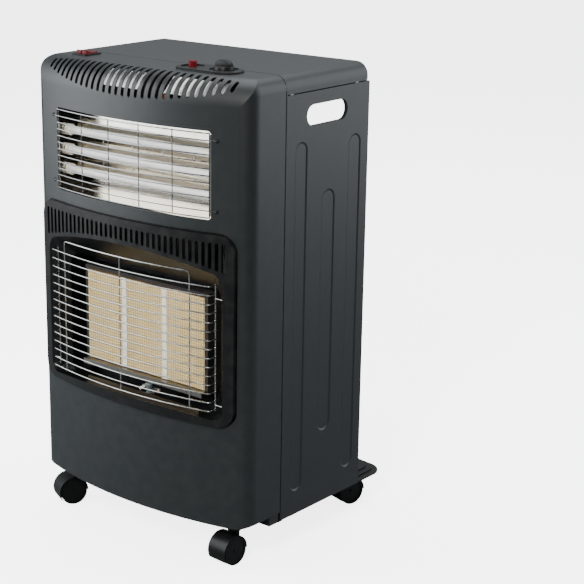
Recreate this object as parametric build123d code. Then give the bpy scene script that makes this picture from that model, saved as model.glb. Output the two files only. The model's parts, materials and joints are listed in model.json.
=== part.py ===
from build123d import *
import os
from math import asin, cos, degrees, radians, sin, sqrt

# Portable gas cabinet heater with an electric element bank, folding cabinet, millimetres, +Z up.
# The model is drawn about the seam between front unit and cabinet (y = 0), with the floor at z = 0.
# Each piece is then moved so that the origin lies on the floor under the middle of the whole heater.

# Front unit
WIDTH = 420.0
HALF = WIDTH / 2
HEIGHT = 715.0
SHEET = 1.2
SEAM_GAP = 1.0
BOW_RADIUS = 690.0
FRONT_DEPTH = 107.0
CORNER_RADIUS = 25.0
TOP_EDGE_RADIUS = 20.0
BROW_RADIUS = 38.0
CASING_BOTTOM = 64.0
SKIRT_ARC_RADIUS = 60.0
SKIRT_FLAT_HALF = HALF - 27.0

# Louvres along the brow
LOUVRE_COUNT = 29
LOUVRE_END_X = HALF - 33.6
LOUVRE_WIDTH = 5.8
LOUVRE_TOP_BEHIND_FRONT = 37.0
LOUVRE_TOP_SET_BACK = 8.0
LOUVRE_DROP = 37.5
LOUVRE_END_RISE = 20.5

# Element window and what lies in it
WINDOW_HALF = HALF - 58.0
WINDOW_BOTTOM = HEIGHT - 195.0
WINDOW_HEIGHT = 124.0
WINDOW_CORNER = 6.0
ELEMENT_GUARD_BARS = 13
ELEMENT_GUARD_SIDE_GAP = 3.0
ELEMENT_GUARD_END_GAP = 3.0
ELEMENT_GUARD_UPRIGHTS = 6
ELEMENT_GUARD_TIE_OVERHANG = 8.5
ELEMENT_BAR_RADIUS = 1.0
TUBE_RADIUS = 6.0
TUBE_WALL = 1.0
TUBE_PITCH = 30.0
TUBE_COUNT = 3
TUBE_DEPTH_Y = -66.0
COIL_RADIUS = 3.5
END_CAP_RADIUS = 8.5
END_CAP_LENGTH = 18.0
ELEMENT_BRACKET_X = WINDOW_HALF + 12.0
REFLECTOR_SHEET = 0.8
REFLECTOR_BACK_Y = -47.0
REFLECTOR_RIDGE = 8.0
REFLECTOR_OVERLAP = 6.0
DEFLECTOR_REAR_Y = -FRONT_DEPTH + 47.0
DEFLECTOR_DROP = 9.0
DEFLECTOR_RUN = 21.0
DEFLECTOR_HANGER = 8.0
DEFLECTOR_HANGER_INSET = 20.0
DEFLECTOR_STRIPS = ((-70.0, 4.0), (56.0, HALF - 45.0))

# Burner bezel and guard
BURNER_OPENING_HALF = HALF - 18.0
BURNER_OPENING_BOTTOM = HEIGHT - 497.0
BURNER_OPENING_HEIGHT = 284.5
BURNER_OPENING_CORNER = 27.0
BEZEL_GROOVE = 1.5
BEZEL_PROUD = 6.0
BEZEL_SKIN = 2.0
BEZEL_RIM_DEPTH = 12.0
BEZEL_FLANGE_HALF = BURNER_OPENING_HALF - 6.0
BEZEL_FLANGE_REACH = 6.0
BEZEL_SLOTS = 35
BEZEL_SLOT_END_X = BURNER_OPENING_HALF - 16.9
BEZEL_SLOT_WIDTH = 5.5
BEZEL_SLOT_TOP_MARGIN = 12.5
BEZEL_SLOT_LENGTH = 20.0
BEZEL_SLOT_END_EXTRA = 23.0
FUNNEL_FRONT_Y = -115.0
FUNNEL_REAR_Y = -68.0
FUNNEL_REAR_HALF = BURNER_OPENING_HALF - 40.0
FUNNEL_REAR_TOP = BURNER_OPENING_BOTTOM + 201.0
FUNNEL_REAR_BOTTOM = BURNER_OPENING_BOTTOM + 4.0
FUNNEL_FLOOR_FALL = 13.0
FUNNEL_CORNER = 20.0
FUNNEL_WALL = 1.8
GUARD_PROUD = 12.0
GUARD_BARS = 15
GUARD_BOTTOM = BURNER_OPENING_BOTTOM + 26.0
GUARD_PITCH = 13.15
GUARD_HALF = BURNER_OPENING_HALF - 32.0
GUARD_BAR_RADIUS = 1.2
GUARD_RETURN = 12.0
GUARD_FRAME_HALF = GUARD_HALF - 34.0
GUARD_FRAME_RISE = 18.0

# Burner
PLAQUE_COUNT = 3
PLAQUE_FIELD_HALF = BURNER_OPENING_HALF - 74.0
PLAQUE_BOTTOM = BURNER_OPENING_BOTTOM + 39.0
PLAQUE_HEIGHT = 140.0
PLAQUE_FACE_Y = -66.0
PLAQUE_THICKNESS = 12.0
PLAQUE_GAP = 9.0
PLAQUE_LEDGE = 4.0
PLENUM_MARGIN = 6.0
PLENUM_DEPTH = 26.8
BURNER_BOX_BACK_Y = -36.0
LEDGE_REACH = 11.0
LEDGE_LIP = 8.0
PAN_LEFT = 15.0 - PLAQUE_FIELD_HALF
PAN_RIGHT = PLAQUE_FIELD_HALF + 6.0
PAN_FRONT_Y = -84.0
PAN_REAR_Y = -70.0
PAN_BOTTOM = BURNER_OPENING_BOTTOM + 8.6
PILOT_X = 18.0
PILOT_Y = -75.0
PILOT_RADIUS = 6.0

# Gas line
VALVE_TOP = HEIGHT - 16.0
VALVE_HEIGHT = 44.0
BRACKET_SHEET = 1.5
SPINDLE_RADIUS = 4.0
RUNNING_FIT = 0.05
HOSE_TAIL_RADIUS = 4.5
HOSE_TAIL_LENGTH = 20.0
HOSE_TAIL_Z = HEIGHT - 115.0
PIPE_RADIUS = 4.0
PILOT_PIPE_RADIUS = 1.5

# Controls on the top
SWITCH_X = 61.0 - HALF
SWITCH_Y = -29.0
SWITCH_LENGTH = 34.0
SWITCH_WIDTH = 30.0
SWITCH_FLANGE = 2.0
SWITCH_BODY_DEPTH = 15.0
ROCKER_PITCH = 11.4
ROCKER_WIDTH = 10.0
ROCKER_HALF_LENGTH = 11.5
ROCKER_TILT = 8.0
ROCKER_CLEARANCE = 0.3
ROCKER_PIN_RADIUS = 1.5
ROCKER_PIN_END = 0.35
PLATE_RIGHT = HALF - 60.0
PLATE_LEFT = PLATE_RIGHT - 110.0
PLATE_FRONT_Y = -54.0
PLATE_REAR_Y = -2.5
PLATE_THICKNESS = 3.0
PLATE_FLOOR = 1.0
BUTTON_X = PLATE_LEFT + 22.0
BUTTON_Y = -27.0
BUTTON_RADIUS = 6.0
BUTTON_RISE = 9.5
BUTTON_DEPTH = 14.0
BUTTON_TRAVEL = 4.0
BUTTON_RECESS_RADIUS = 17.0
IGNITER_RADIUS = 9.0
IGNITER_LENGTH = 28.0
KNOB_X = PLATE_RIGHT - 32.6
KNOB_Y = -24.0
KNOB_RADIUS = 14.5
KNOB_SKIRT = 7.0
KNOB_GRIP_HEIGHT = 9.0
KNOB_GRIP_WIDTH = 8.0
KNOB_RISE = 1.0
KNOB_RECESS_RADIUS = 20.5
KNOB_HOLE_CLEARANCE = 1.0
KNOB_TRAVEL = 4.0

# Folding cabinet
CABINET_DEPTH = 193.0
PANEL_FRONT_Y = 1.0
PANEL_BOTTOM = 57.0
PANEL_TOP = HEIGHT - 28.0
PANEL_FLANGE = 9.0
PANEL_HINGE_INSET = 4.8
PANEL_HINGE_Y = 6.0
HINGE_PIN_RADIUS = 1.75
HINGE_LUG_RADIUS = 3.5
RIB_DEPTH = 1.2
RIB_SLOPE = 2.5
HANDLE_CENTRE_Y = 93.5
HANDLE_CENTRE_Z = PANEL_TOP - 33.5
HANDLE_LENGTH = 94.0
HANDLE_HEIGHT = 30.0
HANDLE_RIM = 6.0
LID_SKIRT_BOTTOM = PANEL_TOP + 1.6
LID_FRONT_Y = 0.5
LID_SKIRT_CORNER = 4.0
LID_REAR_CORNER = 8.0
LID_HINGE_Y = 9.1
LID_HINGE_DROP = 4.7
LID_KNUCKLE_RADIUS = 3.2
LID_HINGE_X = HALF - 68.0
LID_LUG_DROP = 20.0
LID_LUG_FOOT = 7.0
LID_LUG_FRONT = 1.5
LID_EAR = 3.0
LID_EAR_GAP = 0.3
LID_EAR_LENGTH = 10.0

# Base
RAIL_FRONT_Y = -22.7
RAIL_REAR_Y = -2.0
RAIL_BOTTOM = 55.0
RAIL_SIDE_INSET = 2.0
RAIL_HALF = HALF - RAIL_SIDE_INSET
RAIL_SHEET = 1.5
BASE_PLATE_Z = 70.5
BASE_PLATE_SHEET = 1.5
TRAY_RIM_HALF = HALF - 10.5
TRAY_REAR_Y = CABINET_DEPTH + 89.0
TRAY_CORNER = 31.0
TRAY_FRONT_Y = 37.0
TRAY_BOTTOM = 49.0
TRAY_STEP_INSET = 10.5
TRAY_STEP_REAR = 2.5
TRAY_STEP_HEIGHT = 2.5
TRAY_STEP_RISE = 2.0
TRAY_SHEET = 1.5
TRAY_HINGE_Y = 30.0
TRAY_HINGE_Z = 50.0
TRAY_HINGE_X = HALF - 42.0
TRAY_EAR = 3.0
TRAY_PIN_RADIUS = 3.0
TRAY_KNUCKLE_RADIUS = 5.0

# Castors
WHEEL_RADIUS = 21.5
WHEEL_WIDTH = 14.0
WHEEL_SIDES = 48
WHEEL_INNER_X = 3.0
CASTOR_WEB = 5.0
HOOD_RADIUS = 24.0
HOOD_GAP = 1.1
HOOD_WIDTH = 34.0
HOOD_FRONT_Z = 8.0
HOOD_REAR_Z = 21.5
CASTOR_TRAIL = 14.0
CASTOR_TURNS = {"front_left": 155.0, "front_right": 176.0, "rear_left": 168.0, "rear_right": 163.0}
CASTOR_BOSS_RADIUS = 8.0
CASTOR_BOSS_LOW = 30.0
CASTOR_TOP = 46.5
CASTOR_STEM_RADIUS = 4.0
CASTOR_STEM_LENGTH = 7.3
SOCKET_RADIUS = 10.0
SOCKET_GAP = 0.5
AXLE_RADIUS = 3.0
CASTOR_X = HALF - 46.0
CASTOR_FRONT_Y = -50.0
CASTOR_REAR_Y = TRAY_REAR_Y - 38.0

# Back plate and its fittings
BACK_PLATE_Y = -5.0
BACK_FLANGE = 9.0
GLAND_Z = 130.0
VENT_LENGTH = 60.0
VENT_HEIGHT = 5.0
VENT_X = HALF - 110.0
VENT_LOW_Z = HEIGHT - 355.0
VENT_PITCH = 24.0
VENT_ROWS = 5
SCREW_INSET = 10.0
SCREW_ROWS = 4
SCREW_LOW_Z = 100.0
SCREW_HIGH_Z = HEIGHT - 45.0
SCREW_RADIUS = 1.5
SCREW_HEAD_RADIUS = 3.5
SCREW_HEAD_HEIGHT = 2.0

# Derived places
INSIDE_HALF = HALF - SHEET
BOW_CENTRE_Y = BOW_RADIUS - FRONT_DEPTH
BACK_PLATE_REAR_Y = BACK_PLATE_Y + SHEET
UNDER_TOP = HEIGHT - SHEET
WINDOW_TOP = WINDOW_BOTTOM + WINDOW_HEIGHT
PANEL_HINGE_X = HALF - PANEL_HINGE_INSET
LID_HINGE_Z = HEIGHT - LID_HINGE_DROP
PLATFORM_TOP = TRAY_BOTTOM + TRAY_STEP_HEIGHT + 2 * TRAY_STEP_RISE
FRONT_REACH = FRONT_DEPTH + GUARD_PROUD + GUARD_BAR_RADIUS
ORIGIN_Y = (TRAY_REAR_Y - FRONT_REACH) / 2
FAR = 600.0


def block(x0, x1, y0, y1, z0, z1):
    """Rectangular block between two opposite corners."""
    centre = Pos((x0 + x1) / 2, (y0 + y1) / 2, (z0 + z1) / 2)
    return centre * Box(x1 - x0, y1 - y0, z1 - z0)


def rod(start, end, radius, sides=0):
    """Straight bar between two points, round or with a number of flat sides."""
    run = Vector(*end) - Vector(*start)
    section = RegularPolygon(radius, sides) if sides else Circle(radius)
    return extrude(Plane(origin=start, z_dir=run) * section, run.length)


def elevation(face, y_front, y_back):
    """Prism along Y of a face drawn in x and z."""
    return extrude(Plane.XZ.offset(-y_back) * face, y_back - y_front)


def side_view(face, x0, x1):
    """Prism along X of a face drawn in y and z."""
    return extrude(Plane.YZ.offset(x0) * face, x1 - x0)


def plan(face, z0, z1):
    """Prism along Z of a face drawn in x and y."""
    return extrude(Plane.XY.offset(z0) * face, z1 - z0)


def rounded_face(x0, x1, z0, z1, radius):
    """Rectangle with four round corners."""
    return Pos((x0 + x1) / 2, (z0 + z1) / 2) * RectangleRounded(x1 - x0, z1 - z0, radius)


def stadium(x, y, length, height):
    """Face with two straight sides and two round ends, its long way along the first axis."""
    return Pos(x, y) * SlotOverall(length, height)


def upright_stadium(x, y, width, height):
    """Face with two straight sides and two round ends, its long way along the second axis."""
    return Pos(x, y) * SlotOverall(height, width, rotation=90)


def turned_arc(centre, radius, start, end):
    """Arc about a centre between two angles in degrees."""
    angles = [radians(a) for a in (start, (start + end) / 2, end)]
    points = [(centre[0] + radius * cos(a), centre[1] + radius * sin(a)) for a in angles]
    return ThreePointArc(*points)


def mirrored(shape):
    """The same shape on the other side of the middle plane."""
    return mirror(shape, Plane.YZ)


def both_sides(shape):
    """A shape and its mirror image."""
    return [shape, mirrored(shape)]


def bow_drum(radius, z0, z1):
    """Upright cylinder about the axis of the bowed front."""
    drum = Cylinder(radius, z1 - z0, align=(Align.CENTER, Align.CENTER, Align.MIN))
    return Pos(0, BOW_CENTRE_Y, z0) * Rot(0, 0, 90) * drum


def bow_y(x, proud=0.0):
    """Where a surface that stands proud of the bowed front lies at a distance from the middle."""
    return BOW_CENTRE_Y - sqrt((BOW_RADIUS + proud) ** 2 - x * x)


def bow_bar(radius, z, size, half_width):
    """Six-sided bar that follows the bow at a radius from its axis."""
    half_angle = degrees(asin(half_width / radius))
    axis = Axis((0, BOW_CENTRE_Y, 0), (0, 0, 1))
    start = Plane(origin=(0, BOW_CENTRE_Y - radius, z), x_dir=(0, 1, 0), z_dir=(1, 0, 0))
    section = (start * RegularPolygon(size, 6)).rotate(axis, -half_angle)
    return revolve(section, axis, 2 * half_angle)


# ---------------------------------------------------------------- front casing


def casing_corner():
    """Centre of the plan corner between the bowed front and the side."""
    x = HALF - CORNER_RADIUS
    return x, BOW_CENTRE_Y - sqrt((BOW_RADIUS - CORNER_RADIUS) ** 2 - x * x)


def casing_plan(inset, back_y):
    """Plan of the front unit, shrunk all round by an inset, closed by a straight back."""
    x, y = casing_corner()
    bow_angle = degrees(asin(x / (BOW_RADIUS - CORNER_RADIUS)))
    radius = CORNER_RADIUS - inset
    side = HALF - inset
    bow = turned_arc((0, BOW_CENTRE_Y), BOW_RADIUS - inset, -90 - bow_angle, -90 + bow_angle)
    right = turned_arc((x, y), radius, -90 + bow_angle, 0)
    left = turned_arc((-x, y), radius, -180, -90 - bow_angle)
    sides = Line((side, y), (side, back_y)) + Line((-side, y), (-side, back_y))
    return make_face(left + bow + right + sides + Line((-side, back_y), (side, back_y)))


def casing_form(inset, bottom, back_y):
    """Outer form of the casing, or its hollow, with both top roundings."""
    top = HEIGHT - inset
    form = plan(casing_plan(inset, back_y), bottom, top)
    rim = [e for e in form.edges().group_by(Axis.Z)[-1] if e.center().Y < back_y - 0.5]
    form = fillet(rim, TOP_EDGE_RADIUS - inset)
    return form - brow_cutter(BOW_RADIUS - inset, top, BROW_RADIUS - inset)


def brow_cutter(radius, top, rounding):
    """Ring that takes off the edge between the bowed front and the top."""
    inner = radius - rounding
    sweep = 25.0
    arc = turned_arc((inner, top - rounding), rounding, 0, 90)
    sides = Polyline((inner, top), (inner, top + 20), (radius + 20, top + 20),
                     (radius + 20, top - rounding), (radius, top - rounding))
    section = Plane(origin=(0, BOW_CENTRE_Y, 0), x_dir=(0, -1, 0), z_dir=(-1, 0, 0))
    axis = Axis((0, BOW_CENTRE_Y, 0), (0, 0, 1))
    profile = (section * make_face(arc + sides)).rotate(axis, -sweep)
    return revolve(profile, axis, 2 * sweep)


def skirt_cutter():
    """What lies below the casing's lower edge, which curves up towards both sides."""
    out = HALF + 5
    centre_z = CASING_BOTTOM + SKIRT_ARC_RADIUS
    rise = degrees(asin((out - SKIRT_FLAT_HALF) / SKIRT_ARC_RADIUS))
    right = turned_arc((SKIRT_FLAT_HALF, centre_z), SKIRT_ARC_RADIUS, -90, -90 + rise)
    left = turned_arc((-SKIRT_FLAT_HALF, centre_z), SKIRT_ARC_RADIUS, -90 - rise, -90)
    end_z = centre_z - SKIRT_ARC_RADIUS * cos(radians(rise))
    below = Polyline((out, end_z), (out, 0), (-out, 0), (-out, end_z))
    flat = Line((-SKIRT_FLAT_HALF, CASING_BOTTOM), (SKIRT_FLAT_HALF, CASING_BOTTOM))
    return elevation(make_face(left + flat + right + below), -FAR, FAR)


def louvre_cutters():
    """Slots that run over the brow, shorter towards both ends."""
    cutters = []
    for i in range(LOUVRE_COUNT):
        along = 2 * i / (LOUVRE_COUNT - 1) - 1
        x = LOUVRE_END_X * along
        share = along ** 2
        back = -FRONT_DEPTH + LOUVRE_TOP_BEHIND_FRONT + LOUVRE_TOP_SET_BACK * share
        bottom = HEIGHT - LOUVRE_DROP + LOUVRE_END_RISE * share
        front = -FRONT_DEPTH - 10
        above = HEIGHT + 10
        over = plan(upright_stadium(x, (front + back) / 2, LOUVRE_WIDTH, back - front), bottom, above)
        through = elevation(upright_stadium(x, (bottom + above) / 2, LOUVRE_WIDTH, above - bottom), front, back)
        cutters.append(over & through)
    return cutters


def window_outline():
    return rounded_face(-WINDOW_HALF, WINDOW_HALF, WINDOW_BOTTOM, WINDOW_TOP, WINDOW_CORNER)


def burner_outline(inset):
    """Burner opening in the casing, shrunk all round by an inset."""
    half = BURNER_OPENING_HALF - inset
    bottom = BURNER_OPENING_BOTTOM + inset
    top = BURNER_OPENING_BOTTOM + BURNER_OPENING_HEIGHT - inset
    return rounded_face(-half, half, bottom, top, BURNER_OPENING_CORNER - inset)


def plate_outline(inset):
    """Oval of the control plate in plan."""
    length = PLATE_RIGHT - PLATE_LEFT - 2 * inset
    height = PLATE_REAR_Y - PLATE_FRONT_Y - 2 * inset
    return stadium((PLATE_LEFT + PLATE_RIGHT) / 2, (PLATE_FRONT_Y + PLATE_REAR_Y) / 2, length, height)


def tie_pin_places():
    """Where the element guard's two long bars turn back into the casing."""
    x = WINDOW_HALF + ELEMENT_GUARD_TIE_OVERHANG
    heights = element_bar_heights()
    return [(sx, z) for sx in (-x, x) for z in (heights[1], heights[-2])]


def knob_hole():
    """Round hole below the knob."""
    radius = KNOB_RADIUS + KNOB_HOLE_CLEARANCE + 0.5
    return rod((KNOB_X, KNOB_Y, HEIGHT - 10), (KNOB_X, KNOB_Y, HEIGHT + 5), radius)


def front_casing():
    """Bowed sheet-steel shell, open at the back and below."""
    shell = casing_form(0, CASING_BOTTOM - 5, -SEAM_GAP) - casing_form(SHEET, 0, 20)
    shell = shell - skirt_cutter()
    front = -FRONT_DEPTH - 20
    cuts = louvre_cutters()
    cuts.append(elevation(window_outline(), front, front + 70))
    cuts.append(elevation(burner_outline(0), front, front + 70))
    cuts += [rod((x, front, z), (x, -60, z), ELEMENT_BAR_RADIUS + 0.2) for x, z in tie_pin_places()]
    hole_half_x = SWITCH_WIDTH / 2 - 3
    hole_half_y = SWITCH_LENGTH / 2 - 3
    cuts.append(block(SWITCH_X - hole_half_x, SWITCH_X + hole_half_x, SWITCH_Y - hole_half_y,
                      SWITCH_Y + hole_half_y, HEIGHT - 10, HEIGHT + 5))
    cuts.append(knob_hole())
    igniter_hole = IGNITER_RADIUS + 0.2
    cuts.append(rod((BUTTON_X, BUTTON_Y, HEIGHT - 10), (BUTTON_X, BUTTON_Y, HEIGHT + 5), igniter_hole))
    return shell - cuts


# ---------------------------------------------------------------- back and base


def cabinet_outline(inset, bottom):
    """Front view of the cabinet with its two round top edges."""
    half = HALF - inset
    top = HEIGHT - inset
    radius = TOP_EDGE_RADIUS - inset
    centre_x = half - radius
    centre_z = top - radius
    right = turned_arc((centre_x, centre_z), radius, 0, 90)
    left = turned_arc((-centre_x, centre_z), radius, 90, 180)
    rest = Line((centre_x, top), (-centre_x, top))
    rest += Polyline((-half, centre_z), (-half, bottom), (half, bottom), (half, centre_z))
    return make_face(right + left + rest)


def panel_lug(z0, z1):
    """Lug behind the front unit that carries a side panel's pivot pin."""
    x = PANEL_HINGE_X
    arm = block(x - HINGE_LUG_RADIUS, x + HINGE_LUG_RADIUS, RAIL_REAR_Y - RAIL_SHEET / 2, PANEL_HINGE_Y, z0, z1)
    eye = rod((x, PANEL_HINGE_Y, z0), (x, PANEL_HINGE_Y, z1), HINGE_LUG_RADIUS)
    hole = rod((x, PANEL_HINGE_Y, z0 - 1), (x, PANEL_HINGE_Y, z1 + 1), HINGE_PIN_RADIUS)
    return arm + eye - hole


def lid_lug(x0, x1):
    """Lug behind the front unit that carries a lid hinge pin."""
    z = LID_HINGE_Z
    y = LID_HINGE_Y
    radius = LID_KNUCKLE_RADIUS
    low = z - LID_LUG_DROP
    foot = block(x0, x1, BACK_PLATE_Y, y + radius, low, low + LID_LUG_FOOT)
    post = block(x0, x1, y - LID_LUG_FRONT, y + radius, low, z)
    eye = rod((x0, y, z), (x1, y, z), radius)
    return foot + post + eye - rod((x0 - 1, LID_HINGE_Y, z), (x1 + 1, LID_HINGE_Y, z), HINGE_PIN_RADIUS)


def lid_ear_x():
    """Inner and outer face of the lid's right hinge ear."""
    return LID_HINGE_X, LID_HINGE_X + LID_EAR


def screw_places():
    """Middle of each screw head on the back plate."""
    pitch = (SCREW_HIGH_Z - SCREW_LOW_Z) / (SCREW_ROWS - 1)
    heights = [SCREW_LOW_Z + pitch * i for i in range(SCREW_ROWS)]
    x = HALF - SCREW_INSET
    return [(side * x, z) for side in (-1, 1) for z in heights]


def vent_outlines():
    """Air slots in the back plate, in two columns beside the middle."""
    heights = [VENT_LOW_Z + VENT_PITCH * i for i in range(VENT_ROWS)]
    return [stadium(x, z, VENT_LENGTH, VENT_HEIGHT) for x in (-VENT_X, VENT_X) for z in heights]


def back_plate():
    """Heat shield that closes the front unit: a pan whose flange lies inside the casing."""
    bottom = BASE_PLATE_Z + BASE_PLATE_SHEET
    outer = cabinet_outline(SHEET, bottom)
    hollow = cabinet_outline(2 * SHEET, bottom + SHEET)
    flange_front = BACK_PLATE_Y - BACK_FLANGE
    pan = elevation(outer, flange_front, BACK_PLATE_REAR_Y) - elevation(hollow, flange_front - 1, BACK_PLATE_Y)
    cuts = [elevation(face, BACK_PLATE_Y - 1, BACK_PLATE_REAR_Y + 1) for face in vent_outlines()]
    cuts += [rod((x, BACK_PLATE_Y - 1, z), (x, 0, z), SCREW_RADIUS) for x, z in screw_places()]
    cuts.append(rod((0, BACK_PLATE_Y - 1, HOSE_TAIL_Z), (0, 0, HOSE_TAIL_Z), HOSE_TAIL_RADIUS + 2))
    cuts.append(rod((0, BACK_PLATE_Y - 1, GLAND_Z), (0, 0, GLAND_Z), HOSE_TAIL_RADIUS + 1.5))
    cuts.append(knob_hole())
    pan = pan - cuts
    x0, x1 = lid_ear_x()
    inner = lid_lug(x0 - LID_EAR_GAP - LID_EAR, x0 - LID_EAR_GAP)
    outer_lug = lid_lug(x1 + LID_EAR_GAP, x1 + LID_EAR_GAP + LID_EAR)
    upper = panel_lug(LID_SKIRT_BOTTOM + 0.4, LID_SKIRT_BOTTOM + 0.4 + BRACKET_SHEET)
    upper_stem = block(PANEL_HINGE_X - HINGE_LUG_RADIUS, PANEL_HINGE_X + HINGE_LUG_RADIUS, BACK_PLATE_Y,
                       RAIL_REAR_Y, LID_SKIRT_BOTTOM + 0.4, LID_SKIRT_BOTTOM + 0.4 + BRACKET_SHEET)
    return pan + both_sides(inner) + both_sides(outer_lug) + both_sides(upper) + both_sides(upper_stem)


def base_plate():
    """Floor of the front unit."""
    return plan(casing_plan(SHEET, BACK_PLATE_REAR_Y), BASE_PLATE_Z, BASE_PLATE_Z + BASE_PLATE_SHEET)


def tray_ear_outline():
    """Side view of the rail's ear for the tray hinge."""
    y = TRAY_HINGE_Y
    z = TRAY_HINGE_Z
    radius = TRAY_KNUCKLE_RADIUS
    back = RAIL_REAR_Y - RAIL_SHEET
    top = z + radius
    arm = make_face(Polyline((back, RAIL_BOTTOM - 5), (back, RAIL_BOTTOM + 11), (0.5, RAIL_BOTTOM + 11),
                             (0.5, top), (y, top), (y, z - radius), (y - 6, z - radius), (back, RAIL_BOTTOM - 5)))
    return arm + Pos(y, z) * Circle(radius) - Pos(y, z) * Circle(TRAY_PIN_RADIUS)


def base_rail():
    """Folded channel across the rear of the base, with lugs for the panels and ears for the tray."""
    outer = block(-RAIL_HALF, RAIL_HALF, RAIL_FRONT_Y, RAIL_REAR_Y, RAIL_BOTTOM, BASE_PLATE_Z)
    hollow = block(-RAIL_HALF + RAIL_SHEET, RAIL_HALF - RAIL_SHEET, RAIL_FRONT_Y + RAIL_SHEET,
                   RAIL_REAR_Y - RAIL_SHEET, RAIL_BOTTOM - 1, BASE_PLATE_Z - RAIL_SHEET)
    ear = side_view(tray_ear_outline(), TRAY_HINGE_X, TRAY_HINGE_X + TRAY_EAR)
    lug = panel_lug(RAIL_BOTTOM, RAIL_BOTTOM + BRACKET_SHEET)
    return outer - hollow + both_sides(ear) + both_sides(lug)


def castor_socket(x, y, top):
    """Sleeve that takes a castor's stem."""
    bottom = CASTOR_TOP + SOCKET_GAP
    depth = CASTOR_STEM_LENGTH + 0.2
    sleeve = rod((x, y, bottom), (x, y, top), SOCKET_RADIUS)
    return sleeve - rod((x, y, bottom - 1), (x, y, CASTOR_TOP + depth), CASTOR_STEM_RADIUS + RUNNING_FIT)


def front_castor_sockets():
    return [castor_socket(x, CASTOR_FRONT_Y, BASE_PLATE_Z) for x in (-CASTOR_X, CASTOR_X)]


# ---------------------------------------------------------------- burner


def funnel_face(y, grow):
    """Funnel section at a depth, grown all round by an amount."""
    run = FUNNEL_REAR_Y - y
    half = FUNNEL_REAR_HALF + run + grow
    top = FUNNEL_REAR_TOP + run + grow
    bottom = FUNNEL_REAR_BOTTOM + run * FUNNEL_FLOOR_FALL / (FUNNEL_REAR_Y - FUNNEL_FRONT_Y) - grow
    face = rounded_face(-half, half, bottom, top, FUNNEL_CORNER + grow)
    return Plane.XZ.offset(-y) * face


def funnel_solid(grow):
    """Solid between the funnel's front and rear sections."""
    return loft([funnel_face(FUNNEL_FRONT_Y, grow), funnel_face(FUNNEL_REAR_Y, grow)], ruled=True)


def bezel_slot_cutters():
    """Rounded slots above the burner, longer towards both ends."""
    top = BURNER_OPENING_BOTTOM + BURNER_OPENING_HEIGHT - BEZEL_SLOT_TOP_MARGIN
    cutters = []
    for i in range(BEZEL_SLOTS):
        along = 2 * i / (BEZEL_SLOTS - 1) - 1
        x = BEZEL_SLOT_END_X * along
        length = BEZEL_SLOT_LENGTH + BEZEL_SLOT_END_EXTRA * along ** 2
        face = upright_stadium(x, top - length / 2, BEZEL_SLOT_WIDTH, length)
        y = bow_y(x, BEZEL_PROUD)
        cutters.append(elevation(face, y - 3, y + BEZEL_SKIN + 3))
    return cutters


def burner_bezel():
    """Frame round the burner: bowed skin, rim, funnel and the flange behind the casing."""
    low = BURNER_OPENING_BOTTOM - 40
    high = BURNER_OPENING_BOTTOM + BURNER_OPENING_HEIGHT + 40
    face_radius = BOW_RADIUS + BEZEL_PROUD
    drum = bow_drum(face_radius, low, high)
    front = -FRONT_DEPTH - 20
    outer = elevation(burner_outline(BEZEL_GROOVE), front, 0)
    hollow = elevation(burner_outline(BEZEL_GROOVE + BEZEL_SKIN), front, 0)
    hollow = hollow & bow_drum(face_radius - BEZEL_SKIN, low, high)
    frame = (outer & drum) - hollow - bow_drum(face_radius - BEZEL_RIM_DEPTH, low, high)
    reach = BEZEL_FLANGE_REACH
    bottom = BURNER_OPENING_BOTTOM - reach
    top = BURNER_OPENING_BOTTOM + BURNER_OPENING_HEIGHT + reach
    inner_radius = BOW_RADIUS - SHEET
    flange = elevation(rounded_face(-BEZEL_FLANGE_HALF, BEZEL_FLANGE_HALF, bottom, top, 10), front, 0)
    flange = (flange & bow_drum(inner_radius, low, high)) - bow_drum(inner_radius - BEZEL_SKIN, low, high)
    flange = flange - hollow
    opening = funnel_solid(0)
    funnel = (funnel_solid(FUNNEL_WALL) & drum) - opening
    return frame - opening + flange + funnel - bezel_slot_cutters()


def burner_guard():
    """Bowed wire grille: fifteen bars that turn back at their ends, on a frame of uprights."""
    radius = BOW_RADIUS + GUARD_PROUD
    size = GUARD_BAR_RADIUS
    behind = radius - 2 * size
    top = GUARD_BOTTOM + GUARD_PITCH * (GUARD_BARS - 1)
    end_x = GUARD_HALF - size
    end_y = bow_y(GUARD_HALF, GUARD_PROUD)
    side_y = end_y + GUARD_RETURN + size
    wires = []
    for i in range(GUARD_BARS):
        z = GUARD_BOTTOM + GUARD_PITCH * i
        wires.append(bow_bar(radius, z, size, GUARD_HALF))
        wires += both_sides(rod((end_x, end_y + size, z), (end_x, side_y - size, z), size, 6))
    wires += both_sides(rod((end_x, side_y, GUARD_BOTTOM), (end_x, side_y, top), size, 6))
    frame_top = top + GUARD_FRAME_RISE
    wires.append(bow_bar(behind, frame_top, size, GUARD_FRAME_HALF + size))
    for x in (-GUARD_FRAME_HALF, 0, GUARD_FRAME_HALF):
        y = BOW_CENTRE_Y - sqrt(behind ** 2 - x * x)
        wires.append(rod((x, y, GUARD_BOTTOM), (x, y, frame_top - size), size, 6))
    wall_x = FUNNEL_REAR_HALF + FUNNEL_REAR_Y - side_y
    for z in (GUARD_BOTTOM + GUARD_PITCH / 2, top - GUARD_PITCH * 1.5):
        wires += both_sides(rod((end_x + size, side_y, z), (wall_x - size, side_y, z), size, 6))
    return wires


def box_face(grow):
    """Front view of the burner recess behind the funnel."""
    return rounded_face(-FUNNEL_REAR_HALF - grow, FUNNEL_REAR_HALF + grow, FUNNEL_REAR_BOTTOM - grow,
                        FUNNEL_REAR_TOP + grow, FUNNEL_CORNER + grow)


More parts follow.
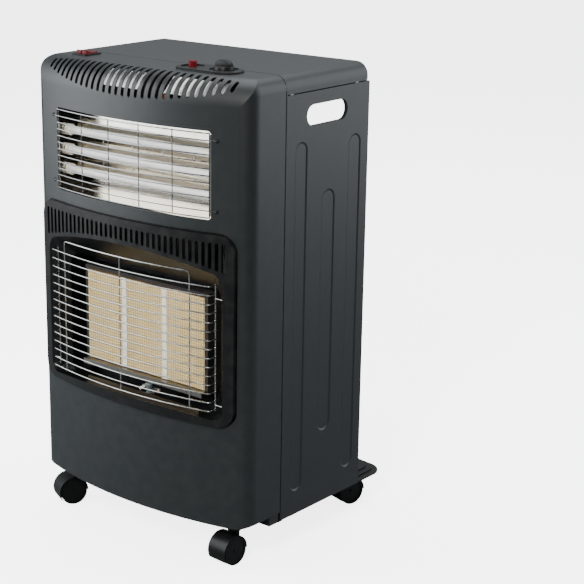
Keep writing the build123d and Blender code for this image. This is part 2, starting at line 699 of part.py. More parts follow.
def burner_box():
    """Sheet-metal recess that holds the burner, open to the front."""
    outer = elevation(box_face(FUNNEL_WALL), FUNNEL_REAR_Y, BURNER_BOX_BACK_Y)
    return outer - elevation(box_face(FUNNEL_WALL - SHEET), FUNNEL_REAR_Y - 1, BURNER_BOX_BACK_Y - SHEET)


def plaque_edges():
    """Left and right edge of each ceramic plaque."""
    width = (2 * PLAQUE_FIELD_HALF - (PLAQUE_COUNT - 1) * PLAQUE_GAP) / PLAQUE_COUNT
    lefts = [-PLAQUE_FIELD_HALF + i * (width + PLAQUE_GAP) for i in range(PLAQUE_COUNT)]
    return [(left, left + width) for left in lefts]


def plaque(i):
    """Ceramic plaque that glows, with a shallow raised field on its face."""
    left, right = plaque_edges()[i]
    back = PLAQUE_FACE_Y + PLAQUE_THICKNESS
    top = PLAQUE_BOTTOM + PLAQUE_HEIGHT
    slab = block(left, right, PLAQUE_FACE_Y + 1, back, PLAQUE_BOTTOM, top)
    return slab + block(left + 2, right - 2, PLAQUE_FACE_Y, PLAQUE_FACE_Y + 1, PLAQUE_BOTTOM + 2, top - 2)


def plenum_front_y():
    return PLAQUE_FACE_Y + 2.0


def burner_plenum():
    """Pressed box behind the plaques that feeds them with gas and air."""
    half = PLAQUE_FIELD_HALF + PLENUM_MARGIN
    bottom = PLAQUE_BOTTOM - PLENUM_MARGIN
    top = PLAQUE_BOTTOM + PLAQUE_HEIGHT + PLENUM_MARGIN
    back = plenum_front_y() + PLENUM_DEPTH
    body = block(-half, half, plenum_front_y(), back, bottom, top)
    pocket = block(-PLAQUE_FIELD_HALF, PLAQUE_FIELD_HALF, plenum_front_y() - 1,
                   PLAQUE_FACE_Y + PLAQUE_THICKNESS, PLAQUE_BOTTOM, PLAQUE_BOTTOM + PLAQUE_HEIGHT)
    cavity_half = PLAQUE_FIELD_HALF - PLAQUE_LEDGE
    cavity = block(-cavity_half, cavity_half, plenum_front_y(), back - SHEET, PLAQUE_BOTTOM + PLAQUE_LEDGE,
                   PLAQUE_BOTTOM + PLAQUE_HEIGHT - PLAQUE_LEDGE)
    return body - pocket - cavity


def plaque_gaskets():
    """White fibre strips between the plaques and along their top edge."""
    edges = plaque_edges()
    top = PLAQUE_BOTTOM + PLAQUE_HEIGHT
    front = PLAQUE_FACE_Y - 0.5
    back = PLAQUE_FACE_Y + PLAQUE_THICKNESS
    strips = [block(edges[i][1], edges[i + 1][0], front, back, PLAQUE_BOTTOM, top) for i in range(PLAQUE_COUNT - 1)]
    strips.append(block(-PLAQUE_FIELD_HALF, PLAQUE_FIELD_HALF, front, plenum_front_y(), top + 0.2, top + 3.5))
    return strips


def burner_ledge():
    """Folded sheet below the plaques."""
    half = PLAQUE_FIELD_HALF + 3
    top = PLAQUE_BOTTOM - 1
    front = plenum_front_y() - LEDGE_REACH
    shelf = block(-half, half, front, plenum_front_y(), top - SHEET, top)
    return shelf + block(-half, half, front, front + SHEET, top - LEDGE_LIP, top - SHEET)


def deflector_pan():
    """Narrow pan in front of the burner that carries the pilot."""
    floor = block(PAN_LEFT, PAN_RIGHT, PAN_FRONT_Y, PAN_REAR_Y, PAN_BOTTOM, PAN_BOTTOM + SHEET)
    lip_top = PAN_BOTTOM + 8
    lip = block(PAN_LEFT, PAN_RIGHT, PAN_FRONT_Y, PAN_FRONT_Y + SHEET, PAN_BOTTOM + SHEET, lip_top)
    hole = rod((PILOT_X, PILOT_Y, PAN_BOTTOM - 1), (PILOT_X, PILOT_Y, PAN_BOTTOM + 2), PILOT_PIPE_RADIUS + 0.5)
    return floor + lip - hole


def pilot_bottom():
    return PAN_BOTTOM + SHEET


def pilot_burner():
    """Pilot head: nut, body and hood, with the bracket that holds probe and electrode."""
    z = pilot_bottom()
    nut = plan(Pos(PILOT_X, PILOT_Y) * RegularPolygon(PILOT_RADIUS, 6), z, z + 6)
    body = rod((PILOT_X, PILOT_Y, z + 6), (PILOT_X, PILOT_Y, z + 15), PILOT_RADIUS * 0.75)
    hood = rod((PILOT_X, PILOT_Y, z + 15), (PILOT_X, PILOT_Y, z + 19), PILOT_RADIUS)
    arm = block(PILOT_X - 18, PILOT_X + 18, PILOT_Y + 3, PILOT_Y + 4.5, z + 7, z + 13)
    holes = [rod((PILOT_X + s * 14, PILOT_Y, z + 10), (PILOT_X + s * 14, PILOT_Y + 9, z + 10), 2) for s in (-1, 1)]
    return nut + body + hood + arm - holes


def probe(side):
    """Pin held by the pilot bracket on one side."""
    z = pilot_bottom() + 10
    x = PILOT_X + side * 14
    return rod((x, PILOT_Y - 6, z), (x, PILOT_Y + 5, z), 2)


def thermocouple():
    """Flame sensing probe with its collar."""
    z = pilot_bottom() + 10
    x = PILOT_X + 14
    return probe(1) + rod((x, PILOT_Y + 4.5, z), (x, PILOT_Y + 7, z), 3.2)


def ignition_electrode():
    """Ceramic body with a thin spark pin."""
    z = pilot_bottom() + 10
    x = PILOT_X - 14
    return probe(-1) + rod((x, PILOT_Y + 4.5, z), (x, PILOT_Y + 7, z), 3.2)


# ---------------------------------------------------------------- gas line


def gas_valve():
    """Valve body with the neck that guides its spindle."""
    bottom = VALVE_TOP - VALVE_HEIGHT
    body = block(KNOB_X - 17, KNOB_X + 17, KNOB_Y - 13, KNOB_Y + 13, bottom, VALVE_TOP)
    neck = rod((KNOB_X, KNOB_Y, VALVE_TOP), (KNOB_X, KNOB_Y, VALVE_TOP + 9), SPINDLE_RADIUS + 4)
    bore = rod((KNOB_X, KNOB_Y, spindle_bottom() - KNOB_TRAVEL - 1), (KNOB_X, KNOB_Y, HEIGHT),
               SPINDLE_RADIUS + RUNNING_FIT)
    return body + neck - bore


def spindle_bottom():
    return VALVE_TOP - 8


def knob_bottom():
    return HEIGHT + KNOB_RISE


def valve_spindle():
    """Shaft that the knob turns and presses."""
    return rod((KNOB_X, KNOB_Y, spindle_bottom()), (KNOB_X, KNOB_Y, knob_bottom() + KNOB_SKIRT), SPINDLE_RADIUS)


def valve_bracket():
    """Shelf on the back plate that carries the gas valve."""
    shelf = block(KNOB_X - 25, KNOB_X + 25, KNOB_Y - 15, BACK_PLATE_Y, VALVE_TOP, VALVE_TOP + BRACKET_SHEET)
    return shelf - rod((KNOB_X, KNOB_Y, VALVE_TOP - 1), (KNOB_X, KNOB_Y, VALVE_TOP + 3), SPINDLE_RADIUS + 4)


def hose_tail():
    """Fitting that the gas hose is pushed on, with its nut behind the back plate."""
    z = HOSE_TAIL_Z
    nut_end = BACK_PLATE_REAR_Y + 6
    tail = rod((0, nut_end, z), (0, nut_end + HOSE_TAIL_LENGTH, z), HOSE_TAIL_RADIUS)
    nut = elevation(Pos(0, z) * RegularPolygon(9, 6), BACK_PLATE_REAR_Y, nut_end)
    shank = rod((0, BACK_PLATE_Y - 10, z), (0, BACK_PLATE_REAR_Y, z), HOSE_TAIL_RADIUS + 2)
    bore = rod((0, BACK_PLATE_Y - 4, z), (0, nut_end + HOSE_TAIL_LENGTH + 1, z), 2.5)
    return tail + nut + shank - bore


def pipe(points, radius, bend):
    """Pipe of straight runs joined by round bends."""
    path = FilletPolyline(*points, radius=bend)
    start = Plane(origin=path @ 0, z_dir=path % 0)
    return sweep(start * Circle(radius), path)


def supply_pipe():
    """Pipe from the hose tail up to the valve's front."""
    y = BACK_PLATE_Y - 10 - PIPE_RADIUS
    x_valve = KNOB_X - 17
    z_valve = VALVE_TOP - 22
    return pipe([(0, y, HOSE_TAIL_Z - PIPE_RADIUS), (0, y, z_valve), (x_valve, y, z_valve)], PIPE_RADIUS, 14)


def gas_manifold():
    """Pipe from the valve down and across to the burner plenum."""
    z_valve = VALVE_TOP - VALVE_HEIGHT
    z_burner = PLAQUE_BOTTOM + PLAQUE_HEIGHT / 2
    y = KNOB_Y
    x = KNOB_X + 5
    points = [(x, y, z_valve), (x, y, z_burner), (0, y, z_burner), (0, BURNER_BOX_BACK_Y, z_burner)]
    return pipe(points, PIPE_RADIUS, [20, 7])


def pilot_pipe():
    """Thin copper pipe that runs down behind the burner and up to the pilot."""
    z_valve = VALVE_TOP - VALVE_HEIGHT
    z_low = FUNNEL_REAR_BOTTOM - 17
    y = KNOB_Y - 8
    x = KNOB_X - 10
    points = [(x, y, z_valve), (x, y, z_low), (PILOT_X, y, z_low), (PILOT_X, PILOT_Y, z_low),
              (PILOT_X, PILOT_Y, pilot_bottom())]
    return pipe(points, PILOT_PIPE_RADIUS, 8)


def pilot_pipe_hole():
    return rod((PILOT_X, PILOT_Y, FUNNEL_REAR_BOTTOM - 12), (PILOT_X, PILOT_Y, PAN_BOTTOM), PILOT_PIPE_RADIUS + 0.7)


# ---------------------------------------------------------------- element bank


def tube_heights():
    middle = (WINDOW_BOTTOM + WINDOW_TOP) / 2 - 5
    return [middle + TUBE_PITCH * (i - (TUBE_COUNT - 1) / 2) for i in range(TUBE_COUNT)]


def tube_end_x():
    return ELEMENT_BRACKET_X - END_CAP_LENGTH


def quartz_tube(i):
    """Clear tube round one heating coil."""
    z = tube_heights()[i]
    x = tube_end_x()
    outer = rod((-x, TUBE_DEPTH_Y, z), (x, TUBE_DEPTH_Y, z), TUBE_RADIUS)
    return outer - rod((-x - 1, TUBE_DEPTH_Y, z), (x + 1, TUBE_DEPTH_Y, z), TUBE_RADIUS - TUBE_WALL)


def heating_coils():
    """Envelope of the coiled wire in each tube."""
    x = tube_end_x()
    return [rod((-x, TUBE_DEPTH_Y, z), (x, TUBE_DEPTH_Y, z), COIL_RADIUS) for z in tube_heights()]


def element_end_caps():
    """Ceramic caps with a waist, at both ends of each tube."""
    inner = tube_end_x()
    caps = []
    for z in tube_heights():
        cap = rod((inner, TUBE_DEPTH_Y, z), (ELEMENT_BRACKET_X, TUBE_DEPTH_Y, z), END_CAP_RADIUS)
        ring = rod((inner + 7, TUBE_DEPTH_Y, z), (inner + 10, TUBE_DEPTH_Y, z), END_CAP_RADIUS + 1)
        core = rod((inner + 7, TUBE_DEPTH_Y, z), (inner + 10, TUBE_DEPTH_Y, z), END_CAP_RADIUS - 1)
        caps += both_sides(cap - (ring - core))
    return caps


def element_brackets():
    """Side plates that carry the tubes, fixed to the back plate."""
    low = WINDOW_BOTTOM - REFLECTOR_OVERLAP
    high = WINDOW_TOP + REFLECTOR_OVERLAP
    front = bow_y(ELEMENT_BRACKET_X) + 6
    plate = block(ELEMENT_BRACKET_X, ELEMENT_BRACKET_X + SHEET, front, BACK_PLATE_Y, low, high)
    foot = block(ELEMENT_BRACKET_X + SHEET, ELEMENT_BRACKET_X + 12, BACK_PLATE_Y - SHEET, BACK_PLATE_Y, low, high)
    return both_sides(plate + foot)


def element_reflector():
    """Polished sheet behind the tubes, with a ridge between neighbouring tubes."""
    low = WINDOW_BOTTOM - REFLECTOR_OVERLAP
    high = WINDOW_TOP + REFLECTOR_OVERLAP
    t = REFLECTOR_SHEET
    front = bow_y(ELEMENT_BRACKET_X) + 6
    heights = tube_heights()
    ridges = [(a + b) / 2 for a, b in zip(heights, heights[1:])]
    line = [(REFLECTOR_BACK_Y, low)]
    for z in ridges:
        line += [(REFLECTOR_BACK_Y, z - 7), (REFLECTOR_BACK_Y - REFLECTOR_RIDGE, z), (REFLECTOR_BACK_Y, z + 7)]
    line.append((REFLECTOR_BACK_Y, high))
    rear = [(y + t, z) for y, z in reversed(line)]
    sheet = side_view(make_face(Polyline(*line, *rear, close=True)), -ELEMENT_BRACKET_X, ELEMENT_BRACKET_X)
    sheet += block(-ELEMENT_BRACKET_X, ELEMENT_BRACKET_X, front, REFLECTOR_BACK_Y + t, low - t, low)
    return sheet + block(-ELEMENT_BRACKET_X, ELEMENT_BRACKET_X, front, REFLECTOR_BACK_Y + t, high, high + t)


def element_bar_heights():
    low = WINDOW_BOTTOM + ELEMENT_GUARD_END_GAP
    pitch = (WINDOW_HEIGHT - 2 * ELEMENT_GUARD_END_GAP) / (ELEMENT_GUARD_BARS - 1)
    return [low + pitch * i for i in range(ELEMENT_GUARD_BARS)]


def element_guard():
    """Bowed wire grille over the window, hung on two long bars that hook into the casing."""
    size = ELEMENT_BAR_RADIUS
    radius = BOW_RADIUS + size + 0.2
    behind = radius - 2 * size
    half = WINDOW_HALF - ELEMENT_GUARD_SIDE_GAP
    heights = element_bar_heights()
    tie_half = WINDOW_HALF + ELEMENT_GUARD_TIE_OVERHANG + size
    wires = [bow_bar(radius, z, size, tie_half if z in (heights[1], heights[-2]) else half) for z in heights]
    for i in range(ELEMENT_GUARD_UPRIGHTS):
        x = half * (2 * i / (ELEMENT_GUARD_UPRIGHTS - 1) - 1)
        y = BOW_CENTRE_Y - sqrt(behind ** 2 - x * x)
        wires.append(rod((x, y, heights[0]), (x, y, heights[-1]), size, 6))
    for x, z in tie_pin_places():
        y = BOW_CENTRE_Y - sqrt(radius ** 2 - x * x)
        wires.append(rod((x, y + size, z), (x, y + 8, z), size, 6))
    return wires


def heat_deflector():
    """Bright sheets under the brow that throw the heat forward, on hangers from the back plate."""
    high = (DEFLECTOR_REAR_Y, HEIGHT - DEFLECTOR_DROP)
    low = (high[0] - DEFLECTOR_RUN, high[1] - DEFLECTOR_RUN)
    sheet = make_face(Polyline(low, high, (high[0] + SHEET, high[1]), (low[0] + SHEET, low[1]), close=True))
    pieces = []
    for x0, x1 in DEFLECTOR_STRIPS:
        strip = side_view(sheet, x0, x1)
        for x in (x0 + DEFLECTOR_HANGER_INSET, x1 - DEFLECTOR_HANGER_INSET - DEFLECTOR_HANGER):
            strip += block(x, x + DEFLECTOR_HANGER, high[0], BACK_PLATE_Y, high[1] - SHEET, high[1])
        pieces.append(strip)
    return pieces


# ---------------------------------------------------------------- controls


def rocker_x(i):
    return SWITCH_X + ROCKER_PITCH * (i - 0.5)


def rocker_pivot():
    return SWITCH_Y, HEIGHT - 2


def rocker_pin_half():
    return ROCKER_WIDTH / 2 + ROCKER_CLEARANCE + ROCKER_PIN_END


def switch_bezel():
    """Frame and body of the twin switch, with a well for each rocker."""
    half_x = SWITCH_WIDTH / 2
    half_y = SWITCH_LENGTH / 2
    flange = plan(rounded_face(SWITCH_X - half_x, SWITCH_X + half_x, SWITCH_Y - half_y, SWITCH_Y + half_y, 2),
                  HEIGHT, HEIGHT + SWITCH_FLANGE)
    inner_x = half_x - 3.2
    inner_y = half_y - 3.2
    body = block(SWITCH_X - inner_x, SWITCH_X + inner_x, SWITCH_Y - inner_y, SWITCH_Y + inner_y,
                 HEIGHT - SWITCH_BODY_DEPTH, HEIGHT)
    frame = flange + body
    well_half = ROCKER_HALF_LENGTH + 1.3
    for i in range(2):
        x = rocker_x(i)
        reach = ROCKER_WIDTH / 2 + ROCKER_CLEARANCE
        frame -= block(x - reach, x + reach, SWITCH_Y - well_half, SWITCH_Y + well_half,
                       HEIGHT - SWITCH_BODY_DEPTH + 2, HEIGHT + 5)
    y, z = rocker_pivot()
    end = ROCKER_PITCH / 2 + rocker_pin_half() + 0.1
    return frame - rod((SWITCH_X - end, y, z), (SWITCH_X + end, y, z), ROCKER_PIN_RADIUS + RUNNING_FIT)


def rocker(i):
    """Rocker with a dished top, tilted to its off side, and its pivot pin."""
    y, z = rocker_pivot()
    half = ROCKER_HALF_LENGTH
    outline = Polyline((-half, 4.5), (0, 3), (half, 4.5), (half - 1.5, -3), (4, -6), (-4, -6),
                       (-half + 1.5, -3), close=True)
    profile = Pos(y, z) * Rot(0, 0, -ROCKER_TILT) * make_face(outline)
    x = rocker_x(i)
    reach = rocker_pin_half()
    pin = rod((x - reach, y, z), (x + reach, y, z), ROCKER_PIN_RADIUS)
    return side_view(profile, x - ROCKER_WIDTH / 2, x + ROCKER_WIDTH / 2) + pin


def control_plate():
    """Oval plate with a shallow recess round the button and one round the knob."""
    plate = plan(plate_outline(0), HEIGHT, HEIGHT + PLATE_THICKNESS)
    rim = plate.edges().group_by(Axis.Z)[-1]
    plate = chamfer(rim, 1.0)
    floor = HEIGHT + PLATE_FLOOR
    above = HEIGHT + 10
    plate -= rod((BUTTON_X, BUTTON_Y, floor), (BUTTON_X, BUTTON_Y, above), BUTTON_RECESS_RADIUS)
    plate -= rod((KNOB_X, KNOB_Y, floor), (KNOB_X, KNOB_Y, above), KNOB_RECESS_RADIUS)
    plate -= rod((BUTTON_X, BUTTON_Y, HEIGHT - 1), (BUTTON_X, BUTTON_Y, above), BUTTON_RADIUS + 0.15)
    return plate - rod((KNOB_X, KNOB_Y, HEIGHT - 1), (KNOB_X, KNOB_Y, above), KNOB_RADIUS + KNOB_HOLE_CLEARANCE)


def igniter_body():
    """Piezo igniter below the button."""
    button_bottom = HEIGHT + PLATE_FLOOR - BUTTON_DEPTH
    body = rod((BUTTON_X, BUTTON_Y, HEIGHT - IGNITER_LENGTH), (BUTTON_X, BUTTON_Y, HEIGHT), IGNITER_RADIUS)
    return body - rod((BUTTON_X, BUTTON_Y, button_bottom - BUTTON_TRAVEL - 1), (BUTTON_X, BUTTON_Y, HEIGHT + 1),
                      BUTTON_RADIUS + 0.15)


def ignition_button():
    """Push button with a chamfered rim."""
    floor = HEIGHT + PLATE_FLOOR
    button = rod((BUTTON_X, BUTTON_Y, floor - BUTTON_DEPTH), (BUTTON_X, BUTTON_Y, floor + BUTTON_RISE), BUTTON_RADIUS)
    return chamfer(button.edges().group_by(Axis.Z)[-1], 1.2)


def gas_knob():
    """Knob with a round skirt and a flat grip across it."""
    z = knob_bottom()
    skirt = rod((KNOB_X, KNOB_Y, z), (KNOB_X, KNOB_Y, z + KNOB_SKIRT), KNOB_RADIUS)
    skirt = chamfer(skirt.edges().group_by(Axis.Z)[-1], 1.2)
    grip = plan(stadium(KNOB_X, KNOB_Y, 2 * KNOB_RADIUS - 2, KNOB_GRIP_WIDTH), z + KNOB_SKIRT - 2,
                z + KNOB_SKIRT + KNOB_GRIP_HEIGHT)
    grip = chamfer(grip.edges().group_by(Axis.Z)[-1], 1.2)
    bore = rod((KNOB_X, KNOB_Y, z - 1), (KNOB_X, KNOB_Y, z + KNOB_SKIRT + 0.2), SPINDLE_RADIUS + RUNNING_FIT)
    return skirt + grip - bore


# ---------------------------------------------------------------- small fittings


def casing_screws():
    """Screws that hold the back plate."""
    screws = []
    for x, z in screw_places():
        head = rod((x, BACK_PLATE_REAR_Y, z), (x, BACK_PLATE_REAR_Y + SCREW_HEAD_HEIGHT, z), SCREW_HEAD_RADIUS, 6)
        screws.append(head + rod((x, BACK_PLATE_Y - 5, z), (x, BACK_PLATE_REAR_Y, z), SCREW_RADIUS))
    return screws


def panel_hinge_pins():
    """Upper and lower pivot pin of each side panel."""
    x = PANEL_HINGE_X
    y = PANEL_HINGE_Y
    lower = rod((x, y, RAIL_BOTTOM), (x, y, PANEL_BOTTOM + 4), HINGE_PIN_RADIUS)
    upper = rod((x, y, PANEL_TOP - 4), (x, y, LID_SKIRT_BOTTOM + 0.4 + BRACKET_SHEET), HINGE_PIN_RADIUS)
    return both_sides(lower) + both_sides(upper)


def lid_hinge_pins():
    """Pins of the lid's two hinges."""
    x0, x1 = lid_ear_x()
    reach = LID_EAR_GAP + LID_EAR
    return both_sides(rod((x0 - reach, LID_HINGE_Y, LID_HINGE_Z), (x1 + reach, LID_HINGE_Y, LID_HINGE_Z),
                          HINGE_PIN_RADIUS))


def tray_hinge_pins():
    """Pins of the tray's two hinges."""
    x1 = TRAY_HINGE_X + 2 * TRAY_EAR + LID_EAR_GAP
    return both_sides(rod((TRAY_HINGE_X, TRAY_HINGE_Y, TRAY_HINGE_Z), (x1, TRAY_HINGE_Y, TRAY_HINGE_Z), TRAY_PIN_RADIUS))


def cable_gland():
    """Gland for the mains lead."""
    z = GLAND_Z
    rear = BACK_PLATE_REAR_Y
    body = rod((0, BACK_PLATE_Y - 6, z), (0, rear + 14, z), HOSE_TAIL_RADIUS + 1.5)
    nut = elevation(Pos(0, z) * RegularPolygon(9.5, 6), rear, rear + 6)
    return body + nut - rod((0, -30, z), (0, rear + 20, z), 3.5)


def tilt_switch():
    """Switch that cuts the electric elements if the heater tips."""
    z = BASE_PLATE_Z + BASE_PLATE_SHEET
    return block(48, 72, -66, -48, z, z + 14) + rod((60, -57, z + 14), (60, -57, z + 20), 6)


# ---------------------------------------------------------------- folding cabinet


def lid():
    """Top cover with skirts on three sides and two hinge ears."""
    outer = elevation(cabinet_outline(0, LID_SKIRT_BOTTOM), LID_FRONT_Y, CABINET_DEPTH)
    upright = outer.edges().filter_by(Axis.Z).group_by(Axis.Y)[-1]
    outer = fillet(upright, LID_REAR_CORNER)
    outer -= lid_corner_cutter()
    hollow = elevation(cabinet_outline(SHEET, 0), -FAR, CABINET_DEPTH - SHEET)
    upright = hollow.edges().filter_by(Axis.Z).group_by(Axis.Y)[-1]
    hollow = fillet(upright, LID_REAR_CORNER - SHEET)
    cover = outer - hollow
    return cover + both_sides(lid_ear())


def lid_corner_cutter():
    """Rounds the front lower corner of both skirts."""
    r = LID_SKIRT_CORNER
    y = LID_FRONT_Y
    z = LID_SKIRT_BOTTOM
    corner = block(-FAR, FAR, y - 1, y + r, z - 1, z + r)
    return corner - rod((-FAR, y + r, z + r), (FAR, y + r, z + r), r)


def lid_ear():
    """Ear under the lid that turns on the hinge pin."""
    x0, x1 = lid_ear_x()
    y = LID_HINGE_Y
    z = LID_HINGE_Z
    eye = rod((x0, y, z), (x1, y, z), LID_KNUCKLE_RADIUS)
    web = block(x0, x1, y, y + LID_EAR_LENGTH, z - LID_KNUCKLE_RADIUS, UNDER_TOP)
    return eye + web - rod((x0 - 1, y, z), (x1 + 1, y, z), HINGE_PIN_RADIUS + RUNNING_FIT)


def rib_outlines():
    """Pressed ribs of a side panel in side view: middle, width and height of each."""
    middle = (PANEL_BOTTOM + PANEL_TOP) / 2
    tall = PANEL_TOP - PANEL_BOTTOM
    return [(35.4, 27.4, middle - 15.5, tall - 105.0), (99.5, 31.0, middle - 15.0, tall - 260.0),
            (160.2, 29.1, middle - 18.0, tall - 110.0)]


def pressed_rib(y, z, width, height, x, grow):
    """Shallow rib with sloping walls, sunk inwards from a plane across X."""
    mouth = upright_stadium(y, z, width + grow, height + grow)
    floor = upright_stadium(y, z, width + grow - 2 * RIB_SLOPE, height + grow - 2 * RIB_SLOPE)
    return loft([Plane.YZ.offset(x) * mouth, Plane.YZ.offset(x - RIB_DEPTH) * floor], ruled=True)


def side_panel():
    """Right side panel: sheet with flanges, three pressed ribs and a handle slot."""
    inner_x = HALF - SHEET
    flange_x = HALF - PANEL_FLANGE
    rear = CABINET_DEPTH
    panel = block(inner_x, HALF, PANEL_FRONT_Y, rear, PANEL_BOTTOM, PANEL_TOP)
    panel += block(flange_x, HALF, PANEL_FRONT_Y, rear, PANEL_TOP - SHEET, PANEL_TOP)
    panel += block(flange_x, HALF, PANEL_FRONT_Y, rear, PANEL_BOTTOM, PANEL_BOTTOM + SHEET)
    panel += block(flange_x, HALF, rear - SHEET, rear, PANEL_BOTTOM, PANEL_TOP)
    for y, width, z, height in rib_outlines():
        panel += pressed_rib(y, z, width, height, inner_x, 1.0)
        panel -= pressed_rib(y, z, width, height, HALF, 0)
    panel += side_view(stadium(HANDLE_CENTRE_Y, HANDLE_CENTRE_Z, HANDLE_LENGTH + 2 * SHEET,
                               HANDLE_HEIGHT + 2 * SHEET), HALF - HANDLE_RIM, inner_x)
    panel -= side_view(stadium(HANDLE_CENTRE_Y, HANDLE_CENTRE_Z, HANDLE_LENGTH, HANDLE_HEIGHT),
                       HALF - HANDLE_RIM - 1, HALF + 1)
    x = PANEL_HINGE_X
    hole = HINGE_PIN_RADIUS + RUNNING_FIT
    return panel - rod((x, PANEL_HINGE_Y, 0), (x, PANEL_HINGE_Y, HEIGHT), hole)


def tray_step(level, inset):
    """One level of the tray, counted from the rim up."""
    half = TRAY_RIM_HALF - TRAY_STEP_INSET * level - inset
    rear = TRAY_REAR_Y - TRAY_STEP_REAR * level - inset
    front = TRAY_FRONT_Y + inset
    radius = TRAY_CORNER - 1.5 * level - inset
    edge = turned_arc((half - radius, rear - radius), radius, 0, 90)
    edge += turned_arc((radius - half, rear - radius), radius, 90, 180)
    edge += Line((half - radius, rear), (radius - half, rear))
    edge += Polyline((-half, rear - radius), (-half, front), (half, front), (half, rear - radius))
    top = TRAY_BOTTOM + TRAY_STEP_HEIGHT + TRAY_STEP_RISE * level - inset
    bottom = TRAY_BOTTOM - 1 if inset else TRAY_BOTTOM
    return plan(make_face(edge), bottom, top)


def base_tray():
    """Stepped sheet tray that carries the bottle, with hinge lugs and the rear castor sockets."""
    outer = tray_step(0, 0) + tray_step(1, 0) + tray_step(2, 0)
    hollow = tray_step(0, TRAY_SHEET) + tray_step(1, TRAY_SHEET) + tray_step(2, TRAY_SHEET)
    tray = outer - hollow
    under = PLATFORM_TOP - TRAY_SHEET
    for x in (-CASTOR_X, CASTOR_X):
        tray += castor_socket(x, CASTOR_REAR_Y, under)
    return tray + both_sides(tray_lug())


def tray_lug():
    """Lug in front of the tray that turns on the hinge pin."""
    x0 = TRAY_HINGE_X + TRAY_EAR + LID_EAR_GAP
    x1 = x0 + TRAY_EAR
    y = TRAY_HINGE_Y
    z = TRAY_HINGE_Z
    eye = rod((x0, y, z), (x1, y, z), TRAY_KNUCKLE_RADIUS)
    web = block(x0, x1, y, TRAY_FRONT_Y + 6, z - 1, PLATFORM_TOP - TRAY_SHEET)
    return eye + web - rod((x0 - 1, y, z), (x1 + 1, y, z), TRAY_PIN_RADIUS + RUNNING_FIT)


# ---------------------------------------------------------------- castors


def castor_places():
    """Frame of each castor, its stem at a place on the base and turned as it stands."""
    rows = {"front": CASTOR_FRONT_Y, "rear": CASTOR_REAR_Y}
    sides = {"left": -CASTOR_X, "right": CASTOR_X}
    corners = [(f"{row}_{side}", x, y) for row, y in rows.items() for side, x in sides.items()]
    return {name: Pos(x, y, 0) * Rot(0, 0, CASTOR_TURNS[name]) for name, x, y in corners}


def hood_mouth():
    """What lies below the hood's sloping lower edge."""
    front = CASTOR_TRAIL + HOOD_RADIUS
    rear = CASTOR_TRAIL - HOOD_RADIUS
    slope = (HOOD_FRONT_Z - HOOD_REAR_Z) / (front - rear)
    far = 2 * HOOD_RADIUS
    high = HOOD_REAR_Z - slope * far
    low = HOOD_FRONT_Z + slope * far
    outline = Polyline((rear - far, high), (front + far, low), (front + far, -far), (rear - far, -far), close=True)
    return side_view(make_face(outline), -HOOD_WIDTH, HOOD_WIDTH)


def castor_hood():
    """Hood with its web between the wheels, boss and stem; the stem is the local Z axis."""
    wheel_y = CASTOR_TRAIL
    wheel_z = WHEEL_RADIUS
    half = HOOD_WIDTH / 2
    hood = rod((-half, wheel_y, wheel_z), (half, wheel_y, wheel_z), HOOD_RADIUS)
    hood -= hood_mouth()
    hood += rod((0, 0, CASTOR_BOSS_LOW), (0, 0, CASTOR_TOP), CASTOR_BOSS_RADIUS)
    for side in (-1, 1):
        inner = side * CASTOR_WEB / 2
        outer = side * (half + 1)
        hood -= rod((inner, wheel_y, wheel_z), (outer, wheel_y, wheel_z), WHEEL_RADIUS + HOOD_GAP)
    hood -= rod((-half, wheel_y, wheel_z), (half, wheel_y, wheel_z), AXLE_RADIUS + RUNNING_FIT)
    return hood + rod((0, 0, CASTOR_TOP), (0, 0, CASTOR_TOP + CASTOR_STEM_LENGTH), CASTOR_STEM_RADIUS)


def castor_wheels():
    """Two wheels with sunk faces on their common axle."""
    pieces = []
    y = CASTOR_TRAIL
    z = WHEEL_RADIUS
    for side in (-1, 1):
        inner = side * WHEEL_INNER_X
        outer = side * (WHEEL_INNER_X + WHEEL_WIDTH)
        wheel = rod((inner, y, z), (outer, y, z), WHEEL_RADIUS, WHEEL_SIDES)
        wheel -= rod((outer, y, z), (outer - side * 1.5, y, z), WHEEL_RADIUS - 2.5, WHEEL_SIDES)
        pieces.append(wheel - rod((0, y, z), (outer + side, y, z), AXLE_RADIUS))
    reach = WHEEL_INNER_X + WHEEL_WIDTH
    pieces.append(rod((-reach, y, z), (reach, y, z), AXLE_RADIUS))
    return pieces


# ---------------------------------------------------------------- assembly


def bezel_with_pipe_hole():
    return burner_bezel() - pilot_pipe_hole()


